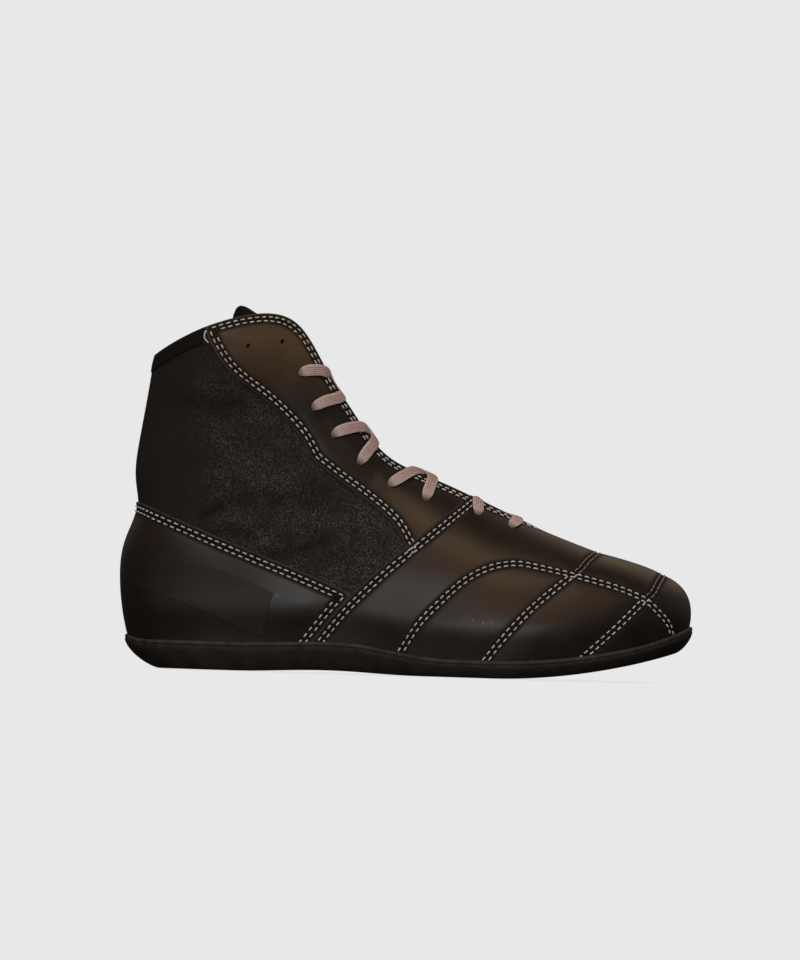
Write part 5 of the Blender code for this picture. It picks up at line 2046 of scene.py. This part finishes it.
class SHOE_OT_collar(DressOperator, bpy.types.Operator):
    """Makes the tape round the collar"""

    bl_idname = "shoe.collar"
    bl_label = "Collar Tape"

    def execute(self, context):
        build_binding(self.cloth("collar_tape_weave", self.colours.tape, thread=0.45, strength=0.25))
        return {"FINISHED"}


class SHOE_OT_tongue(DressOperator, bpy.types.Operator):
    """Makes the padded tongue"""

    bl_idname = "shoe.tongue"
    bl_label = "Padded Tongue"

    def execute(self, context):
        cloth = self.cloth(
            "tongue_cloth", self.colours.tongue,
            thread=0.7, strength=0.12, shine=0.1, dark_above=TONGUE_PAINTED_DARK,
        )
        build_tongue(cloth)
        return {"FINISHED"}


class SHOE_OT_lace(DressOperator, bpy.types.Operator):
    """Makes the flat lace"""

    bl_idname = "shoe.lace"
    bl_label = "Flat Lace"

    def execute(self, context):
        dye = self.colours
        braid = lace_finish("mauve_cotton_braid", dye.lace, dye.lace_shade, dye.lace_edge, dye.lace_throat_shade)
        build_lace(self.sizes, braid)
        return {"FINISHED"}


class SHOE_OT_stage(DressOperator, bpy.types.Operator):
    """Makes the floor, the lights, the backdrop and the camera"""

    bl_idname = "shoe.stage"
    bl_label = "Stage"

    def execute(self, context):
        look = context.scene.stage_look
        self.make_floor(look)
        self.make_backdrop(context.scene, look)
        self.make_light("key_softbox", Vector(SOFTBOX_PLACE), Vector(SOFTBOX_AIM), look.key_power)
        self.make_camera(context.scene, look)
        context.scene.view_settings.view_transform = "Standard"
        return {"FINISHED"}

    def make_floor(self, look):
        """A pale glowing floor with a painted contact shadow close to the shoe."""
        mesh = bpy.data.meshes.new("floor")
        corners = [(x * FLOOR_REACH, y * FLOOR_REACH, 0.0) for x, y in ((-1, -1), (1, -1), (1, 1), (-1, 1))]
        mesh.from_pydata(corners, [], [[0, 1, 2, 3]])
        floor = into_scene("floor", mesh)
        floor.location.z = -FLOOR_DROP
        finish = bpy.data.materials.new("pale_floor")
        finish.use_nodes = True
        w = Wiring(finish.node_tree)
        finish.node_tree.nodes.remove(finish.node_tree.nodes["Principled BSDF"])
        # The floor's shade round the shoe is painted from occlusion into its glow.
        shade = w.node("ShaderNodeAmbientOcclusion", {"Distance": SHADE_REACH}, samples=SHADE_SAMPLES)
        clear = w.remap(shade.outputs["AO"], 0.0, SHADE_TO)
        tone = w.blend(clear, opaque(look.backdrop, SHADE_TONE), opaque(look.backdrop))
        glow = w.node("ShaderNodeEmission", {"Color": tone})
        w.feed(finish.node_tree.nodes["Material Output"].inputs["Surface"], glow.outputs["Emission"])
        mesh.materials.append(finish)
        floor.visible_diffuse = False
        floor.visible_glossy = False
        floor.visible_shadow = False

    def make_backdrop(self, scene, look):
        """The backdrop that the camera sees, and the soft studio light that the shoe sees."""
        world = bpy.data.worlds.new("studio")
        world.use_nodes = True
        scene.world = world
        w = Wiring(world.node_tree)
        way = w.node("ShaderNodeTexCoord").outputs["Generated"]
        direction = w.split(way)
        behind, height = direction["Y"], direction["Z"]
        dim = w.maths("MULTIPLY", w.remap(behind, *DIM_BEHIND), w.remap(height, *DIM_OVERHEAD))
        dim = w.maths("MULTIPLY", dim, w.remap(height, *DIM_BELOW))
        light = w.blend(dim, opaque(look.room, 0.0), opaque(look.room))
        for glow in STUDIO_GLOWS:
            side, rise = math.radians(glow.side), math.radians(glow.rise)
            aim = (math.sin(side) * math.cos(rise), -math.cos(side) * math.cos(rise), math.sin(rise))
            near = w.node("ShaderNodeVectorMath", {0: way, 1: aim}, operation="DOT_PRODUCT")
            inner, outer = math.cos(math.radians(glow.inner)), math.cos(math.radians(glow.outer))
            mask = w.remap(near.outputs["Value"], outer, inner)
            off = w.maths("ABSOLUTE", w.maths("SUBTRACT", height, math.sin(rise)))
            mask = w.maths("MULTIPLY", mask, w.remap(off, glow.half_height / 2, glow.half_height, 1.0, 0.0))
            inputs = {0: mask, 6: light, 7: opaque(glow.colour)}
            light = w.node("ShaderNodeMix", inputs, data_type="RGBA", blend_type="ADD").outputs[2]
        studio = w.node("ShaderNodeBackground", {"Color": light, "Strength": 1.0})
        pale = w.node("ShaderNodeBackground", {"Color": opaque(look.backdrop), "Strength": 1.0})
        seen = w.node("ShaderNodeLightPath").outputs["Is Camera Ray"]
        choice = w.node("ShaderNodeMixShader", {0: seen, 1: studio.outputs[0], 2: pale.outputs[0]})
        w.feed(world.node_tree.nodes["World Output"].inputs["Surface"], choice.outputs[0])

    def make_light(self, name, place, aim, power):
        """A warm softbox that looks at a point."""
        lamp = bpy.data.lights.new(name, "AREA")
        lamp.shape = "RECTANGLE"
        lamp.size, lamp.size_y = SOFTBOX_SIZE
        lamp.energy = power
        lamp.color = SOFTBOX_COLOUR
        light = into_scene(name, lamp)
        light.location = place
        light.rotation_euler = (aim - place).to_track_quat("-Z", "Y").to_euler()

    def make_camera(self, scene, look):
        """A level camera on the lateral side, rolled as in the photograph."""
        camera = bpy.data.cameras.new("camera")
        tall = FRAME_PIXELS[1] * MM_PER_PIXEL * MM
        camera.lens = camera.sensor_width * look.camera_distance / tall
        eye = into_scene("camera", camera)
        x, z = FRAME_CENTRE
        place = Vector(((x + OFFSET[0]) * MM, -look.camera_distance, z * MM))
        turn = Matrix.Rotation(math.radians(90.0), 4, "X") @ Matrix.Rotation(look.camera_roll, 4, "Z")
        eye.matrix_world = Matrix.Translation(place) @ turn
        scene.camera = eye


class SHOE_PT_sidebar(bpy.types.Panel):
    """Lists the shoe's pieces, sizes and colours"""

    bl_idname = "SHOE_PT_sidebar"
    bl_label = "Boxing Shoe"
    bl_space_type = "VIEW_3D"
    bl_region_type = "UI"
    bl_category = "Shoe"

    def draw(self, context):
        layout = self.layout
        for operator in OPERATORS:
            layout.operator(operator.bl_idname)
        for group in (context.scene.shoe_sizes, context.scene.shoe_colours, context.scene.stage_look):
            box = layout.box()
            for name in group.__annotations__:
                box.prop(group, name)


OPERATORS = [
    SHOE_OT_stage,
    SHOE_OT_sole,
    SHOE_OT_upper,
    SHOE_OT_panels,
    SHOE_OT_collar,
    SHOE_OT_tongue,
    SHOE_OT_lace,
]
CLASSES = [ShoeSizes, ShoeColours, StageLook, *OPERATORS, SHOE_PT_sidebar]


def register():
    for cls in CLASSES:
        bpy.utils.register_class(cls)
    bpy.types.Scene.shoe_sizes = PointerProperty(type=ShoeSizes)
    bpy.types.Scene.shoe_colours = PointerProperty(type=ShoeColours)
    bpy.types.Scene.stage_look = PointerProperty(type=StageLook)


def unregister():
    for name in ("shoe_sizes", "shoe_colours", "stage_look"):
        delattr(bpy.types.Scene, name)
    for cls in reversed(CLASSES):
        bpy.utils.unregister_class(cls)


def main():
    register()
    bpy.ops.shoe.stage()
    bpy.ops.shoe.sole()
    bpy.ops.shoe.upper()
    bpy.ops.shoe.panels()
    bpy.ops.shoe.collar()
    bpy.ops.shoe.tongue()
    bpy.ops.shoe.lace()


if __name__ == "__main__":
    main()
